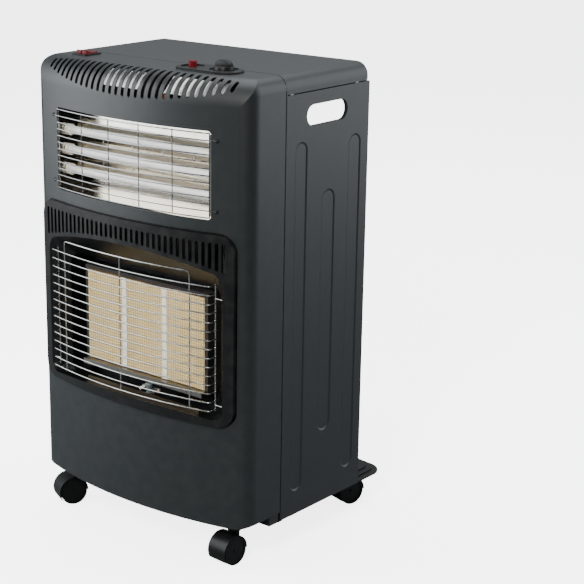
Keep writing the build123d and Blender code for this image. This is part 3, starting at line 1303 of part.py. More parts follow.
def all_nodes():
    """Every node's name with the function that makes it."""
    nodes = {
        "front_casing": front_casing, "back_plate": back_plate, "base_plate": base_plate,
        "base_rail": base_rail, "front_castor_sockets": front_castor_sockets,
        "burner_bezel": bezel_with_pipe_hole, "burner_guard": burner_guard, "burner_box": burner_box,
        "burner_plenum": burner_plenum, "plaque_gaskets": plaque_gaskets, "burner_ledge": burner_ledge,
        "deflector_pan": deflector_pan, "pilot_burner": pilot_burner, "thermocouple": thermocouple,
        "ignition_electrode": ignition_electrode, "gas_valve": gas_valve, "valve_bracket": valve_bracket,
        "valve_spindle": valve_spindle, "hose_tail": hose_tail, "supply_pipe": supply_pipe,
        "gas_manifold": gas_manifold, "pilot_pipe": pilot_pipe, "heating_coils": heating_coils,
        "element_end_caps": element_end_caps, "element_brackets": element_brackets,
        "element_reflector": element_reflector, "element_guard": element_guard,
        "heat_deflector": heat_deflector, "switch_bezel": switch_bezel, "control_plate": control_plate,
        "igniter_body": igniter_body, "ignition_button": ignition_button, "gas_knob": gas_knob,
        "casing_screws": casing_screws, "panel_hinge_pins": panel_hinge_pins,
        "lid_hinge_pins": lid_hinge_pins, "tray_hinge_pins": tray_hinge_pins, "cable_gland": cable_gland,
        "tilt_switch": tilt_switch, "lid": lid, "base_tray": base_tray,
    }
    shapes = {name: make() for name, make in nodes.items()}
    for i, place in enumerate(("left", "middle", "right")):
        shapes[f"ceramic_plaque_{place}"] = plaque(i)
    for i, place in enumerate(("bottom", "middle", "top")):
        shapes[f"quartz_tube_{place}"] = quartz_tube(i)
    for i, place in enumerate(("left", "right")):
        shapes[f"rocker_switch_{place}"] = rocker(i)
    shapes["side_panel_right"] = side_panel()
    shapes["side_panel_left"] = mirrored(shapes["side_panel_right"])
    for name, place in castor_places().items():
        shapes[f"castor_hood_{name}"] = place * castor_hood()
        shapes[f"castor_wheels_{name}"] = [place * piece for piece in castor_wheels()]
    return shapes


def solids_of(shape):
    """Flat list of the solids in a shape or a list of shapes."""
    if isinstance(shape, (list, tuple)):
        return [solid for item in shape for solid in solids_of(item)]
    return list(shape.solids())


def main():
    os.makedirs("parts", exist_ok=True)
    for name, shape in all_nodes().items():
        placed = [Pos(0, -ORIGIN_Y, 0) * solid for solid in solids_of(shape)]
        export_step(placed[0] if len(placed) == 1 else Compound(children=placed), f"parts/{name}.step")


main()
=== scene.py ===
import json
from math import asin, cos, pi, radians, sin, sqrt, tau

import bmesh
import bpy
from mathutils import Matrix, Vector


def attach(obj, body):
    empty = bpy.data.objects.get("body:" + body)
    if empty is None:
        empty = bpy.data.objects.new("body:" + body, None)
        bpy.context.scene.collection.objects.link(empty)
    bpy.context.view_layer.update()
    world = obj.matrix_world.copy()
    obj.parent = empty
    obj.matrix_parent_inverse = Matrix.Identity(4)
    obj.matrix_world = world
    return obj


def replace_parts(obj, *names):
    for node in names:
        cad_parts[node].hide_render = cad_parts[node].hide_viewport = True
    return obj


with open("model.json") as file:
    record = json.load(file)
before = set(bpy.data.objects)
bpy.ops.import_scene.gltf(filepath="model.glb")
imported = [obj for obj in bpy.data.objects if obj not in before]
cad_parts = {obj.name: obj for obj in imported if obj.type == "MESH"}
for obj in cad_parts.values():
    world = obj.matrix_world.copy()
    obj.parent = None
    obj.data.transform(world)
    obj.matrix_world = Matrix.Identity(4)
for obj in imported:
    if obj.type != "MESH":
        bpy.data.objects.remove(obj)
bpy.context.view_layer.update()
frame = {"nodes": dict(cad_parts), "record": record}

# Named angles are in degrees and lengths in millimetres, as in the CAD source: X to the right, Z up from
# the floor, and Y to the back from the seam between the front unit and the cabinet. at() turns a place
# into the shared frame, in metres.
MM = 0.001
ORIGIN_Y = 80.9
X, Y, Z = Vector((1, 0, 0)), Vector((0, 1, 0)), Vector((0, 0, 1))

# Two points of the shared frame that are nearer to each other than this, in metres, are one.
SAME_PLACE = 1e-6

# Turns of a round block, whose axis stands along Z, to the back and to the front.
TO_BACK = Matrix.Rotation(-pi / 2, 4, "X")
TO_FRONT = Matrix.Rotation(pi / 2, 4, "X")

# The casing's front, bowed about an upright axis, and how finely a wire follows it.
BOW_RADIUS = 690.0
BOW_CENTRE_Y = 583.0
BOWED_WIRE_STEP = 5.0
BOWED_WIRE_STEPS_LEAST = 16

# Guard of the element window. The tied bars hook into the casing.
ELEMENT_WIRE_RADIUS = 0.85
ELEMENT_GUARD_RADIUS = BOW_RADIUS + 1.2
ELEMENT_GUARD_BARS = 13
ELEMENT_GUARD_LOW = 523.0
ELEMENT_GUARD_HIGH = 641.0
ELEMENT_GUARD_PITCH = (ELEMENT_GUARD_HIGH - ELEMENT_GUARD_LOW) / (ELEMENT_GUARD_BARS - 1)
ELEMENT_GUARD_HALF = 149.0
ELEMENT_GUARD_UPRIGHTS = 6
ELEMENT_UPRIGHT_OVERHANG = 1.0
ELEMENT_TIED_BARS = (1, ELEMENT_GUARD_BARS - 2)
ELEMENT_TIE_HALF = 160.5
ELEMENT_TIE_HOOK = 7.0
ELEMENT_TIE_BEND = 2.5
GROMMET_RADII = (3.4, 2.7)
GROMMET_HEIGHT = 2.4
GROMMET_ROUNDING = 0.4
GROMMET_RIM_ANGLE = 30.0

# Strips behind the window's side edges.
STRIP_X = (148.4, 158.0)
STRIP_BEHIND_FRONT = (1.1, 1.9)
STRIP_END_GAP = 2.0

# Guard of the burner. Its legs stand where the CAD's thicker wire ends.
GUARD_WIRE_RADIUS = 1.0
GUARD_CAD_WIRE_RADIUS = 1.2
GUARD_RADIUS = BOW_RADIUS + 12.0
GUARD_BARS = 15
GUARD_LOW = 244.0
GUARD_PITCH = 13.15
GUARD_TOP = GUARD_LOW + GUARD_PITCH * (GUARD_BARS - 1)
GUARD_LEG_X = 158.8
GUARD_LEG_OVERHANG = 2.0
GUARD_HOOK = 12.0
GUARD_BEND = 5.0
GUARD_STAY_HEIGHTS = (GUARD_LOW + GUARD_PITCH / 2, GUARD_TOP - GUARD_PITCH * 1.5)
GUARD_WALL_X = 171.3
GUARD_FRAME_HALF = 126.0
GUARD_FRAME_TOP = 446.1
GUARD_FRAME_CORNER = 6.0
GUARD_FRAME_STEPS = 28

# Tubes, their coils and caps, and the tabs of the reflector behind them.
TUBE_Y = -66.0
TUBE_HEIGHTS = (547.0, 577.0, 607.0)
TUBE_HALF = 146.0
COIL_OUTER = 3.5
COIL_WIRE_RADIUS = 0.45
COIL_WIRE_SIDES = 6
COIL_STEPS = 12
COIL_DOUBLINGS = 7
CLIP_X = (153.3, 155.7)
CLIP_RADII = (7.5, 8.2)
TAB_X = (-90.0, -30.0, 30.0, 90.0)
TAB_Y = -55.4
TAB_SIZE = (1.6, 1.2, 7.0)
TAB_ROUNDING = 0.4

# Rockers, in section: the middle of the dished top, and one half of the outline from there down.
ROCKER_PIVOT = (-29.0, 713.0)
ROCKER_X = (-154.7, -143.3)
ROCKER_WIDTH = 10.0
ROCKER_DISH = 6.4
ROCKER_HALF_OUTLINE = ((5.0, 6.8), (11.5, 8.2), (10.0, -3.0), (4.0, -6.0))
ROCKER_ROUNDING = 0.7
ROCKER_TILT = -8.0

# Gas knob: a round skirt, and a grip cut from an upright disc that is pressed down to its height.
KNOB = (117.4, -24.0)
KNOB_BOTTOM = 716.0
KNOB_RADIUS = 14.5
KNOB_TAPER = 0.6
KNOB_SKIRT_HEIGHT = 7.0
KNOB_SKIRT_ROUNDING = 1.2
KNOB_GRIP_FOOT = 5.0
KNOB_GRIP_HALF = 13.4
KNOB_GRIP_WIDTH = 8.0
KNOB_GRIP_HEIGHT = 10.9
KNOB_GRIP_DISC = 15.5
KNOB_GRIP_ROUNDING = 1.0
KNOB_GRIP_CORNER_ANGLE = 50.0

# Black sheets inside the back plate's vents: painted shade that keeps the vents dark like the casing's
# shaded inside.
VENT_X = 100.0
VENT_LOW = 360.0
VENT_HIGH = 456.0
BAFFLE_OVERLAP = 14.0
BAFFLE_HALF = 36.0
BAFFLE_LIP = 6.0
BAFFLE_SHEET = 0.8
BAFFLE_SEAT_Y = -5.0
BAFFLE_BACK_Y = -12.2

# Front folds and top tabs of the side panels; the folds are black as painted shade of the seam.
PANEL_LOW = 57.0
PANEL_HIGH = 687.0
FOLD_END_GAP = 1.3
FOLD_X = (201.5, 208.7)
FOLD_Y = (1.0, 3.0)
FOLD_WEB = 0.8
FOLD_LIP = 0.7
PANEL_TABS_Y = (14.0, 164.0)
PANEL_TAB_X = 207.8
PANEL_TAB_RISE = 3.0
PANEL_TAB_SIZE = (1.4, 8.0, 8.0)
PANEL_TAB_ROUNDING = 0.3

# Fittings on the back plate's outer face.
BACK_FACE_Y = -3.8
HOSE_Z = 600.0
HOSE_LENGTH = 20.0
HOSE_BORE = 2.5
HOSE_NOSE = 3.6
BARB_CREST = 4.5
BARB_ROOT = 3.8
BARB_CRESTS_FROM_END = (4.0, 9.0, 14.0)
BARB_STEP = 0.2
HOSE_SINK = 0.5
HOSE_NUT = (9.0, 6.0)
SHANK_RADIUS = 6.5
SHANK_LENGTH = 10.9
SHANK_MIDDLE = 5.7
SCREW_X = (-200.0, 200.0)
SCREW_Z = (100.0, 290.0, 480.0, 670.0)
SCREW_NUT = (2.6, 2.0)
WASHER_RADII = (3.5, 3.2)
WASHER_HEIGHT = 0.6
NUT_ROUNDING = 0.8

# Where a finish changes on one node: the back plate's edges and inner face, near-black as painted shade of
# the seams and of the casing's inside; the gaskets' scorched top; the columns and rows of the plaques
# between their holes, and the painted shade in the plaques' grooves and holes.
SEAM_SHADE_EDGE_X = (206.0, 206.4)
INSIDE_SHADE_Y = (-4.2 - ORIGIN_Y, -4.5 - ORIGIN_Y)
SCORCHED_Z = (396.6, 397.2)
PLAQUE_PITCH = 2.25
PLAQUE_COLUMN_EDGE = (0.5, 1.1)
PLAQUE_ROW_EDGE = (0.25, 0.8)

# The room: what the camera sees is bright, and what the paint mirrors is dim, and dimmest on the side
# behind the photographer. The floor's size is in metres.
FLOOR_SIZE = 30.0
FLOOR_GLOW = 4.0
ROOM_SEEN = 4.3
ROOM_MIRRORED = (0.40, 0.02)
DARK_SIDE = (0.5, -0.866, 0.0)
DARK_FROM_TO = (0.20, 0.75)
COOL_LIGHT = (0.93, 0.98, 1.0)
WARM_LIGHT = (1.0, 0.97, 0.92)

# The photograph's camera. What is nearer than CAMERA_NEAR, in metres, isn't drawn.
CAMERA_PLACE = (1548.6, -1682.8, 1036.1)
CAMERA_DOWN = 16.28
CAMERA_TURN = 41.73
CAMERA_LENS = 97.54
CAMERA_SENSOR = 36.0
CAMERA_SHIFT_X = 0.161
CAMERA_NEAR = 0.05


def at(x, y, z):
    """Point of the shared frame, in metres, from the source's millimetres."""
    return Vector((x, y - ORIGIN_Y, z)) * MM


def placed(name, data):
    """Object that holds a mesh, a lamp or a camera, in the scene."""
    made = bpy.data.objects.new(name, data)
    bpy.context.scene.collection.objects.link(made)
    return made


# ---------------------------------------------------------------- nodes of the materials


def add(tree, kind, inputs=(), **settings):
    """Adds a node; inputs are sockets to join or plain values."""
    made = tree.nodes.new("ShaderNode" + kind)
    for name, value in settings.items():
        setattr(made, name, value)
    fill(tree, made, inputs)
    return made


def fill(tree, made, inputs):
    """Joins sockets to a node's inputs, or sets plain values on them."""
    for name, value in dict(inputs).items():
        if isinstance(value, bpy.types.NodeSocket):
            tree.links.new(value, made.inputs[name])
        else:
            made.inputs[name].default_value = value


def place_group(tree, group, inputs):
    """Places a shared effect in a material with that material's own values."""
    made = tree.nodes.new("ShaderNodeGroup")
    made.node_tree = group
    fill(tree, made, inputs)
    return made


def new_group(name, inputs, outputs):
    """Empty shared effect with named sockets."""
    tree = bpy.data.node_groups.new(name, "ShaderNodeTree")
    for label, kind, value in inputs:
        socket = tree.interface.new_socket(label, in_out="INPUT", socket_type=kind)
        socket.default_value = value
    for label, kind in outputs:
        tree.interface.new_socket(label, in_out="OUTPUT", socket_type=kind)
    return tree, tree.nodes.new("NodeGroupInput"), tree.nodes.new("NodeGroupOutput")


def remap(tree, value, low, high, to_low=0.0, to_high=1.0):
    """Stretches a mask between two values, clamped."""
    made = add(tree, "MapRange", {"Value": value, "From Min": low, "From Max": high,
                                  "To Min": to_low, "To Max": to_high})
    return made.outputs["Result"]


def rise(tree, length, limits):
    """Mask that rises from none to full between two lengths in millimetres."""
    return remap(tree, length, limits[0] * MM, limits[1] * MM)


def mixed(tree, mask, first, second):
    """Colour between two colours by a mask."""
    made = add(tree, "Mix", data_type="RGBA")
    fill(tree, made, {0: mask, 6: first, 7: second})
    return made.outputs[2]


def maths(tree, operation, first, second=0.0):
    """Result of one arithmetic step."""
    return add(tree, "Math", {0: first, 1: second}, operation=operation).outputs["Value"]


def noise(tree, vector, scale, detail, **inputs):
    """Value of a cloudy pattern."""
    made = add(tree, "TexNoise", {"Vector": vector, "Scale": scale, "Detail": detail, **inputs})
    return made.outputs["Fac"]


def soft_patches():
    """Slow drift of tone and gloss over a surface."""
    tree, given, put = new_group(
        "soft_patches",
        [("Vector", "NodeSocketVector", (0, 0, 0)), ("Scale", "NodeSocketFloat", 8.0)],
        [("Mask", "NodeSocketFloat")])
    cloud = noise(tree, given.outputs["Vector"], given.outputs["Scale"], 3.0, Roughness=0.55)
    tree.links.new(remap(tree, cloud, 0.36, 0.64), put.inputs["Mask"])
    return tree


def surface_grain():
    """Fine relief of a sprayed, cast or drawn surface, with a coarser wave under it."""
    tree, given, put = new_group(
        "surface_grain",
        [("Vector", "NodeSocketVector", (0, 0, 0)), ("Scale", "NodeSocketFloat", 900.0)],
        [("Height", "NodeSocketFloat")])
    vector, scale = given.outputs["Vector"], given.outputs["Scale"]
    fine = noise(tree, vector, scale, 2.0)
    coarse = noise(tree, vector, maths(tree, "MULTIPLY", scale, 0.23), 1.0)
    tree.links.new(maths(tree, "ADD", fine, coarse), put.inputs["Height"])
    return tree


def edge_rub():
    """Where corners are rubbed: the sharper the corner, the stronger, broken up by noise."""
    tree, given, put = new_group(
        "edge_rub",
        [("Vector", "NodeSocketVector", (0, 0, 0)), ("Scale", "NodeSocketFloat", 60.0)],
        [("Mask", "NodeSocketFloat")])
    sharp = add(tree, "NewGeometry").outputs["Pointiness"]
    cloud = noise(tree, given.outputs["Vector"], given.outputs["Scale"], 4.0)
    corner = remap(tree, sharp, 0.53, 0.62)
    broken = remap(tree, cloud, 0.42, 0.6)
    tree.links.new(maths(tree, "MULTIPLY", corner, broken), put.inputs["Mask"])
    return tree


SOFT_PATCHES = soft_patches()
SURFACE_GRAIN = surface_grain()
EDGE_RUB = edge_rub()


def drift_of(tree, place, scale):
    """Mask of the soft patches at a material's own scale."""
    return place_group(tree, SOFT_PATCHES, {"Vector": place, "Scale": scale}).outputs["Mask"]


def grain_of(tree, place, scale):
    """Height of the fine grain at a material's own scale."""
    return place_group(tree, SURFACE_GRAIN, {"Vector": place, "Scale": scale}).outputs["Height"]


def bumped(tree, height, depth):
    """Normal of a relief of a given depth in millimetres."""
    return add(tree, "Bump", {"Height": height, "Distance": depth * MM}).outputs["Normal"]


def blank(name):
    """Material with an empty node tree, its Object coordinates and its shader."""
    material = bpy.data.materials.new(name)
    material.use_nodes = True
    tree = material.node_tree
    tree.nodes.clear()
    shader = add(tree, "BsdfPrincipled")
    out = add(tree, "OutputMaterial")
    tree.links.new(shader.outputs["BSDF"], out.inputs["Surface"])
    return material, tree, add(tree, "TexCoord").outputs["Object"], shader


def finish(name, colours, roughness, metallic=0.0, patches=8.0, grain=900.0, relief=0.02,
           stretch=(1.0, 1.0, 1.0), rubbed=None, **fixed):
    """Finish whose colour and gloss drift in soft patches over a fine grain; relief in millimetres."""
    material, tree, place, shader = blank(name)
    drawn = add(tree, "Mapping", {"Vector": place, "Scale": stretch}).outputs["Vector"]
    drift = drift_of(tree, drawn, patches)
    colour = mixed(tree, drift, (*colours[0], 1), (*colours[1], 1))
    if rubbed:
        rub = place_group(tree, EDGE_RUB, {"Vector": place}).outputs["Mask"]
        colour = mixed(tree, rub, colour, (*rubbed, 1))
    fill(tree, shader, {"Base Color": colour, "Metallic": metallic,
                        "Normal": bumped(tree, grain_of(tree, drawn, grain), relief),
                        "Roughness": remap(tree, drift, 0, 1, *roughness)})
    for label, value in fixed.items():
        shader.inputs[label.replace("_", " ")].default_value = value
    return material


def zinc_spangle(tree, place):
    """Colour, gloss and normal of zinc-coated sheet with its spangle."""
    spangle = add(tree, "TexVoronoi", {"Vector": place, "Scale": 70.0})
    tone = add(tree, "RGBToBW", {"Color": spangle.outputs["Color"]}).outputs["Val"]
    colour = mixed(tree, tone, (0.40, 0.41, 0.42, 1), (0.58, 0.59, 0.60, 1))
    return colour, remap(tree, tone, 0, 1, 0.30, 0.46), bumped(tree, grain_of(tree, place, 500.0), 0.01)


def galvanised_steel():
    """Zinc-coated sheet."""
    material, tree, place, shader = blank("galvanised_steel")
    colour, gloss, normal = zinc_spangle(tree, place)
    fill(tree, shader, {"Base Color": colour, "Metallic": 1.0, "Normal": normal, "Roughness": gloss})
    return material


def heat_shield():
    """Zinc-coated back plate, near-black on its folded edges and on the side that faces the burner: painted
    shade of the seams and of the casing's inside.
    """
    material, tree, place, shader = blank("heat_shield_steel")
    parts = add(tree, "SeparateXYZ", {"Vector": place})
    zinc, gloss, normal = zinc_spangle(tree, place)
    edge = rise(tree, maths(tree, "ABSOLUTE", parts.outputs["X"]), SEAM_SHADE_EDGE_X)
    seam_and_inside_shade_mask = maths(tree, "MAXIMUM", edge, rise(tree, parts.outputs["Y"], INSIDE_SHADE_Y))
    # Painted shade: near-black on the folded edges, where the seams are, and on the inner face, the
    # casing's shaded inside.
    seam_and_inside_shade = mixed(tree, drift_of(tree, place, 12.0),
                 (0.0050, 0.0055, 0.0060, 1), (0.0080, 0.0085, 0.0090, 1))
    fill(tree, shader, {"Base Color": mixed(tree, seam_and_inside_shade_mask, zinc, seam_and_inside_shade), "Normal": normal,
                        "Metallic": maths(tree, "SUBTRACT", 1.0, seam_and_inside_shade_mask),
                        "Roughness": maths(tree, "ADD", gloss, maths(tree, "MULTIPLY", seam_and_inside_shade_mask, 0.2))})
    return material


def perforated_ceramic():
    """Burner plaque: raised columns with rows of fine flame holes; the tan grooves and dark brown holes are
    painted shade.
    """
    material, tree, place, shader = blank("perforated_ceramic")
    pitch = PLAQUE_PITCH * MM
    parts = add(tree, "SeparateXYZ", {"Vector": place})
    across, up = parts.outputs["X"], parts.outputs["Z"]
    flat = add(tree, "CombineXYZ", {"X": across, "Y": up}).outputs["Vector"]
    holes = add(tree, "TexVoronoi", {"Vector": flat, "Scale": 1 / pitch, "Randomness": 0.0},
                voronoi_dimensions="2D").outputs["Distance"]
    hole = remap(tree, holes, 0.20, 0.30, 1.0, 0.0)
    column = rise(tree, maths(tree, "PINGPONG", across, pitch), PLAQUE_COLUMN_EDGE)
    row = rise(tree, maths(tree, "PINGPONG", up, pitch), PLAQUE_ROW_EDGE)
    raised = maths(tree, "MULTIPLY", column, row)
    drift = drift_of(tree, place, 40.0)
    cream = mixed(tree, drift, (0.90, 0.73, 0.40, 1), (0.95, 0.80, 0.46, 1))
    # Painted shade: the grooves between the raised columns are tan instead of cream.
    body = mixed(tree, raised, (0.58, 0.39, 0.15, 1), cream)
    relief = maths(tree, "SUBTRACT", raised, maths(tree, "MULTIPLY", hole, 2.0))
    chalk = maths(tree, "MULTIPLY", grain_of(tree, place, 1500.0), 0.15)
    # Painted shade: the holes are dark brown.
    fill(tree, shader, {"Base Color": mixed(tree, hole, body, (0.36, 0.20, 0.06, 1)),
                        "Normal": bumped(tree, maths(tree, "ADD", relief, chalk), 0.35),
                        "Roughness": remap(tree, drift, 0, 1, 0.85, 0.95)})
    shader.inputs["Specular IOR Level"].default_value = 0.25
    return material


def gasket_strips():
    """Fibre strips: cream between the plaques, scorched dark along their top."""
    material, tree, place, shader = blank("gasket_fibre")
    high = add(tree, "SeparateXYZ", {"Vector": place}).outputs["Z"]
    scorched = rise(tree, high, SCORCHED_Z)
    drift = drift_of(tree, place, 90.0)
    cream = mixed(tree, drift, (0.80, 0.74, 0.62, 1), (0.90, 0.85, 0.74, 1))
    dark = mixed(tree, drift, (0.020, 0.014, 0.010, 1), (0.045, 0.028, 0.016, 1))
    fill(tree, shader, {"Base Color": mixed(tree, scorched, cream, dark),
                        "Normal": bumped(tree, grain_of(tree, place, 1300.0), 0.10),
                        "Roughness": remap(tree, drift, 0, 1, 0.85, 0.95)})
    return material


def quartz():
    """Milky clear tube: part of the light goes through, and part is scattered."""
    material, tree, place, shader = blank("quartz_glass")
    streak = add(tree, "Mapping", {"Vector": place, "Scale": (3, 60, 60)}).outputs["Vector"]
    drift = drift_of(tree, streak, 6.0)
    colour = mixed(tree, drift, (0.95, 0.95, 0.94, 1), (0.99, 0.99, 0.98, 1))
    fill(tree, shader, {"Base Color": colour, "Roughness": remap(tree, drift, 0, 1, 0.12, 0.20)})
    shader.inputs["Transmission Weight"].default_value = 0.1
    shader.inputs["IOR"].default_value = 1.46
    return material


# Finishes by the record's slot name.
FINISHES = {
    "body_paint": finish(
        "anthracite_powder_coat", ((0.0070, 0.0092, 0.0102), (0.0078, 0.0101, 0.0112)), (0.405, 0.42),
        patches=3.0, grain=1500.0, relief=0.010, rubbed=(0.011, 0.0135, 0.0145)),
    "black_paint": finish(
        "black_enamel", ((0.0040, 0.0043, 0.0046), (0.0050, 0.0054, 0.0057)), (0.30, 0.36),
        patches=7.0, relief=0.012, rubbed=(0.012, 0.012, 0.012), Specular_IOR_Level=0.24),
    "bare_steel": galvanised_steel(),
    "zinc_wire": finish(
        "bright_zinc_wire", ((0.50, 0.49, 0.47), (0.60, 0.59, 0.57)), (0.20, 0.30), 1.0,
        patches=60.0, grain=1500.0, relief=0.006),
    "polished_sheet": finish(
        "polished_aluminium", ((0.86, 0.83, 0.78), (0.92, 0.90, 0.86)), (0.16, 0.20), 1.0,
        patches=10.0, grain=500.0, relief=0.004, stretch=(0.03, 1.0, 1.0)),
    "ceramic_plaque": perforated_ceramic(),
    "white_fibre": finish(
        "ceramic_fibre", ((0.66, 0.64, 0.58), (0.78, 0.76, 0.70)), (0.85, 0.95),
        patches=90.0, grain=1300.0, relief=0.12),
    "cream_ceramic": finish(
        "glazed_steatite", ((0.88, 0.84, 0.72), (0.95, 0.92, 0.82)), (0.28, 0.42),
        patches=50.0, relief=0.01, Coat_Weight=0.3),
    "quartz": quartz(),
    "coil_wire": finish(
        "resistance_wire", ((0.20, 0.19, 0.18), (0.30, 0.28, 0.26)), (0.40, 0.55), 1.0,
        patches=200.0, grain=2500.0, relief=0.01),
    "brass": finish(
        "dull_brass", ((0.40, 0.28, 0.12), (0.56, 0.41, 0.19)), (0.26, 0.42), 1.0,
        patches=30.0, grain=800.0, relief=0.01),
    "copper": finish(
        "copper_pipe", ((0.48, 0.20, 0.11), (0.62, 0.29, 0.17)), (0.25, 0.42), 1.0,
        patches=40.0, relief=0.01),
    "black_plastic": finish(
        "moulded_black_plastic", ((0.0040, 0.0042, 0.0045), (0.0055, 0.0057, 0.0060)), (0.36, 0.44),
        patches=25.0, grain=1600.0, relief=0.010, Specular_IOR_Level=0.22),
    "red_plastic": finish(
        "red_signal_plastic", ((0.075, 0.0015, 0.004), (0.105, 0.002, 0.006)), (0.36, 0.42),
        patches=60.0, grain=1200.0, relief=0.004, Specular_IOR_Level=0.18),
    "wheel_plastic": finish(
        "satin_black_nylon", ((0.0030, 0.0032, 0.0034), (0.0042, 0.0045, 0.0047)), (0.34, 0.42),
        patches=30.0, grain=1400.0, relief=0.03, Specular_IOR_Level=0.24),
}

# Nodes whose finish differs from that of their slot.
NODE_FINISHES = {
    "back_plate": heat_shield(),
    "burner_guard": finish(
        "drawn_guard_wire", ((0.36, 0.36, 0.35), (0.44, 0.44, 0.43)), (0.22, 0.30), 1.0,
        patches=60.0, grain=1500.0, relief=0.004),
    "burner_ledge": finish(
        "heat_stained_steel", ((0.24, 0.23, 0.21), (0.32, 0.30, 0.28)), (0.34, 0.46), 1.0,
        patches=30.0, grain=800.0, relief=0.01, stretch=(0.1, 1.0, 1.0)),
    "burner_plenum": finish(
        "sooted_steel", ((0.006, 0.006, 0.006), (0.014, 0.012, 0.010)), (0.45, 0.60), patches=26.0),
    "deflector_pan": finish(
        "dark_bronze", ((0.13, 0.10, 0.065), (0.22, 0.17, 0.11)), (0.34, 0.46), 1.0,
        patches=34.0, relief=0.01, stretch=(0.2, 1.0, 1.0)),
    "element_brackets": FINISHES["black_paint"],
    "element_guard": finish(
        "stainless_wire", ((0.25, 0.25, 0.25), (0.31, 0.31, 0.31)), (0.20, 0.28), 1.0,
        patches=60.0, grain=1500.0, relief=0.004),
    "element_reflector": finish(
        "brushed_reflector", ((0.74, 0.69, 0.60), (0.81, 0.76, 0.68)), (0.18, 0.22), 1.0,
        patches=10.0, grain=500.0, relief=0.003, stretch=(0.03, 1.0, 1.0)),
    "pilot_burner": finish(
        "nickel_plate", ((0.22, 0.28, 0.31), (0.36, 0.44, 0.48)), (0.24, 0.34), 0.8,
        patches=60.0, relief=0.006),
    "plaque_gaskets": gasket_strips(),
    # Painted highlight: the deflector is near-white and not metallic, standing in for the bright reflection
    # behind the louvre slots.
    "heat_deflector": finish(
        "deflector_painted_highlight", ((0.93, 0.93, 0.93), (0.97, 0.97, 0.97)), (0.42, 0.50),
        patches=16.0, grain=700.0, relief=0.004),
}


def dress_frame():
    """Gives every CAD node its finish, in place of what it was packed with."""
    for part in frame["record"]["subparts"]:
        mesh = frame["nodes"][part["node"]].data
        mesh.materials.clear()
        mesh.materials.append(NODE_FINISHES.get(part["node"]) or FINISHES[part["material_slot"]])


# ---------------------------------------------------------------- shaping


def finished(name, bm, slot, body="front_unit", sharp=35.0):
    """Turns a bmesh into a piece that rides on a body with its slot's finish."""
    bmesh.ops.recalc_face_normals(bm, faces=bm.faces)
    mesh = bpy.data.meshes.new(name)
    bm.to_mesh(mesh)
    bm.free()
    mesh.shade_smooth()
    mesh.set_sharp_from_angle(angle=radians(sharp))
    mesh.materials.append(FINISHES[slot])
    piece = placed(name, mesh)
    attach(piece, body)
    return piece


def only(kind, geometry):
    """What is of one kind among vertices, edges and faces."""
    return [g for g in geometry if isinstance(g, kind)]


def edges_of(verts):
    """Edges that meet some vertices, each once."""
    return list(dict.fromkeys(e for v in verts for e in v.link_edges))


def faces_of(verts):
    """Faces that meet some vertices, each once."""
    return list(dict.fromkeys(f for v in verts for f in v.link_faces))


def sharp_edges(verts, angle):
    """Edges of some vertices where the surface turns by more than an angle in degrees."""
    return [e for e in edges_of(verts) if e.calc_face_angle(0) > radians(angle)]


def end_edges(verts, way):
    """Edges round the end that lies farthest along a direction."""
    reach = max(v.co.dot(way) for v in verts)
    return [e for e in edges_of(verts) if all(reach - v.co.dot(way) < SAME_PLACE for v in e.verts)]


def rounded(bm, edges, width, segments=2):
    """Rounds edges by a width."""
    bmesh.ops.bevel(bm, geom=edges, offset=width * MM, offset_type="OFFSET", segments=segments,
                    profile=0.5, affect="EDGES", material=-1, clamp_overlap=True)


def moved(bm, geometry, way, length):
    """Moves the vertices of new geometry a length along a direction."""
    bmesh.ops.translate(bm, vec=way * length * MM, verts=only(bmesh.types.BMVert, geometry))


def pulled(bm, faces, way, length):
    """Extrudes faces a length along a direction."""
    moved(bm, bmesh.ops.extrude_face_region(bm, geom=faces)["geom"], way, length)


def copied(bm, geometry, way, length):
    """Copies geometry and moves the copy a length along a direction."""
    moved(bm, bmesh.ops.duplicate(bm, geom=geometry)["geom"], way, length)


def everything(bm):
    """All that a bmesh holds."""
    return [*bm.verts, *bm.edges, *bm.faces]


def outline_face(bm, points):
    """One face from its corner points."""
    return bm.faces.new([bm.verts.new(p) for p in points])


def prism(bm, points, way, length):
    """Solid from a flat outline that is pulled a length along a direction."""
    pulled(bm, [outline_face(bm, points)], way, length)


def turned(bm, points, centre, axis, steps=40):
    """Ring or sleeve from a flat outline that is turned once round an axis."""
    face = outline_face(bm, points)
    bmesh.ops.spin(bm, geom=[face, *face.edges, *face.verts], cent=centre, axis=axis, angle=tau,
                   steps=steps, use_merge=True)


def round_block(bm, radii, height, matrix, segments):
    """Cylinder or cone about its middle; gives its vertices."""
    made = bmesh.ops.create_cone(bm, segments=segments, radius1=radii[0] * MM, radius2=radii[1] * MM,
                                 depth=height * MM, cap_ends=True, matrix=matrix)
    return made["verts"]


def small_block(bm, centre, size, rounding):
    """Block with rounded edges."""
    stretch = Matrix.Diagonal((*(length * MM for length in size), 1))
    made = bmesh.ops.create_cube(bm, size=1.0, matrix=Matrix.Translation(centre) @ stretch)
    rounded(bm, edges_of(made["verts"]), rounding)


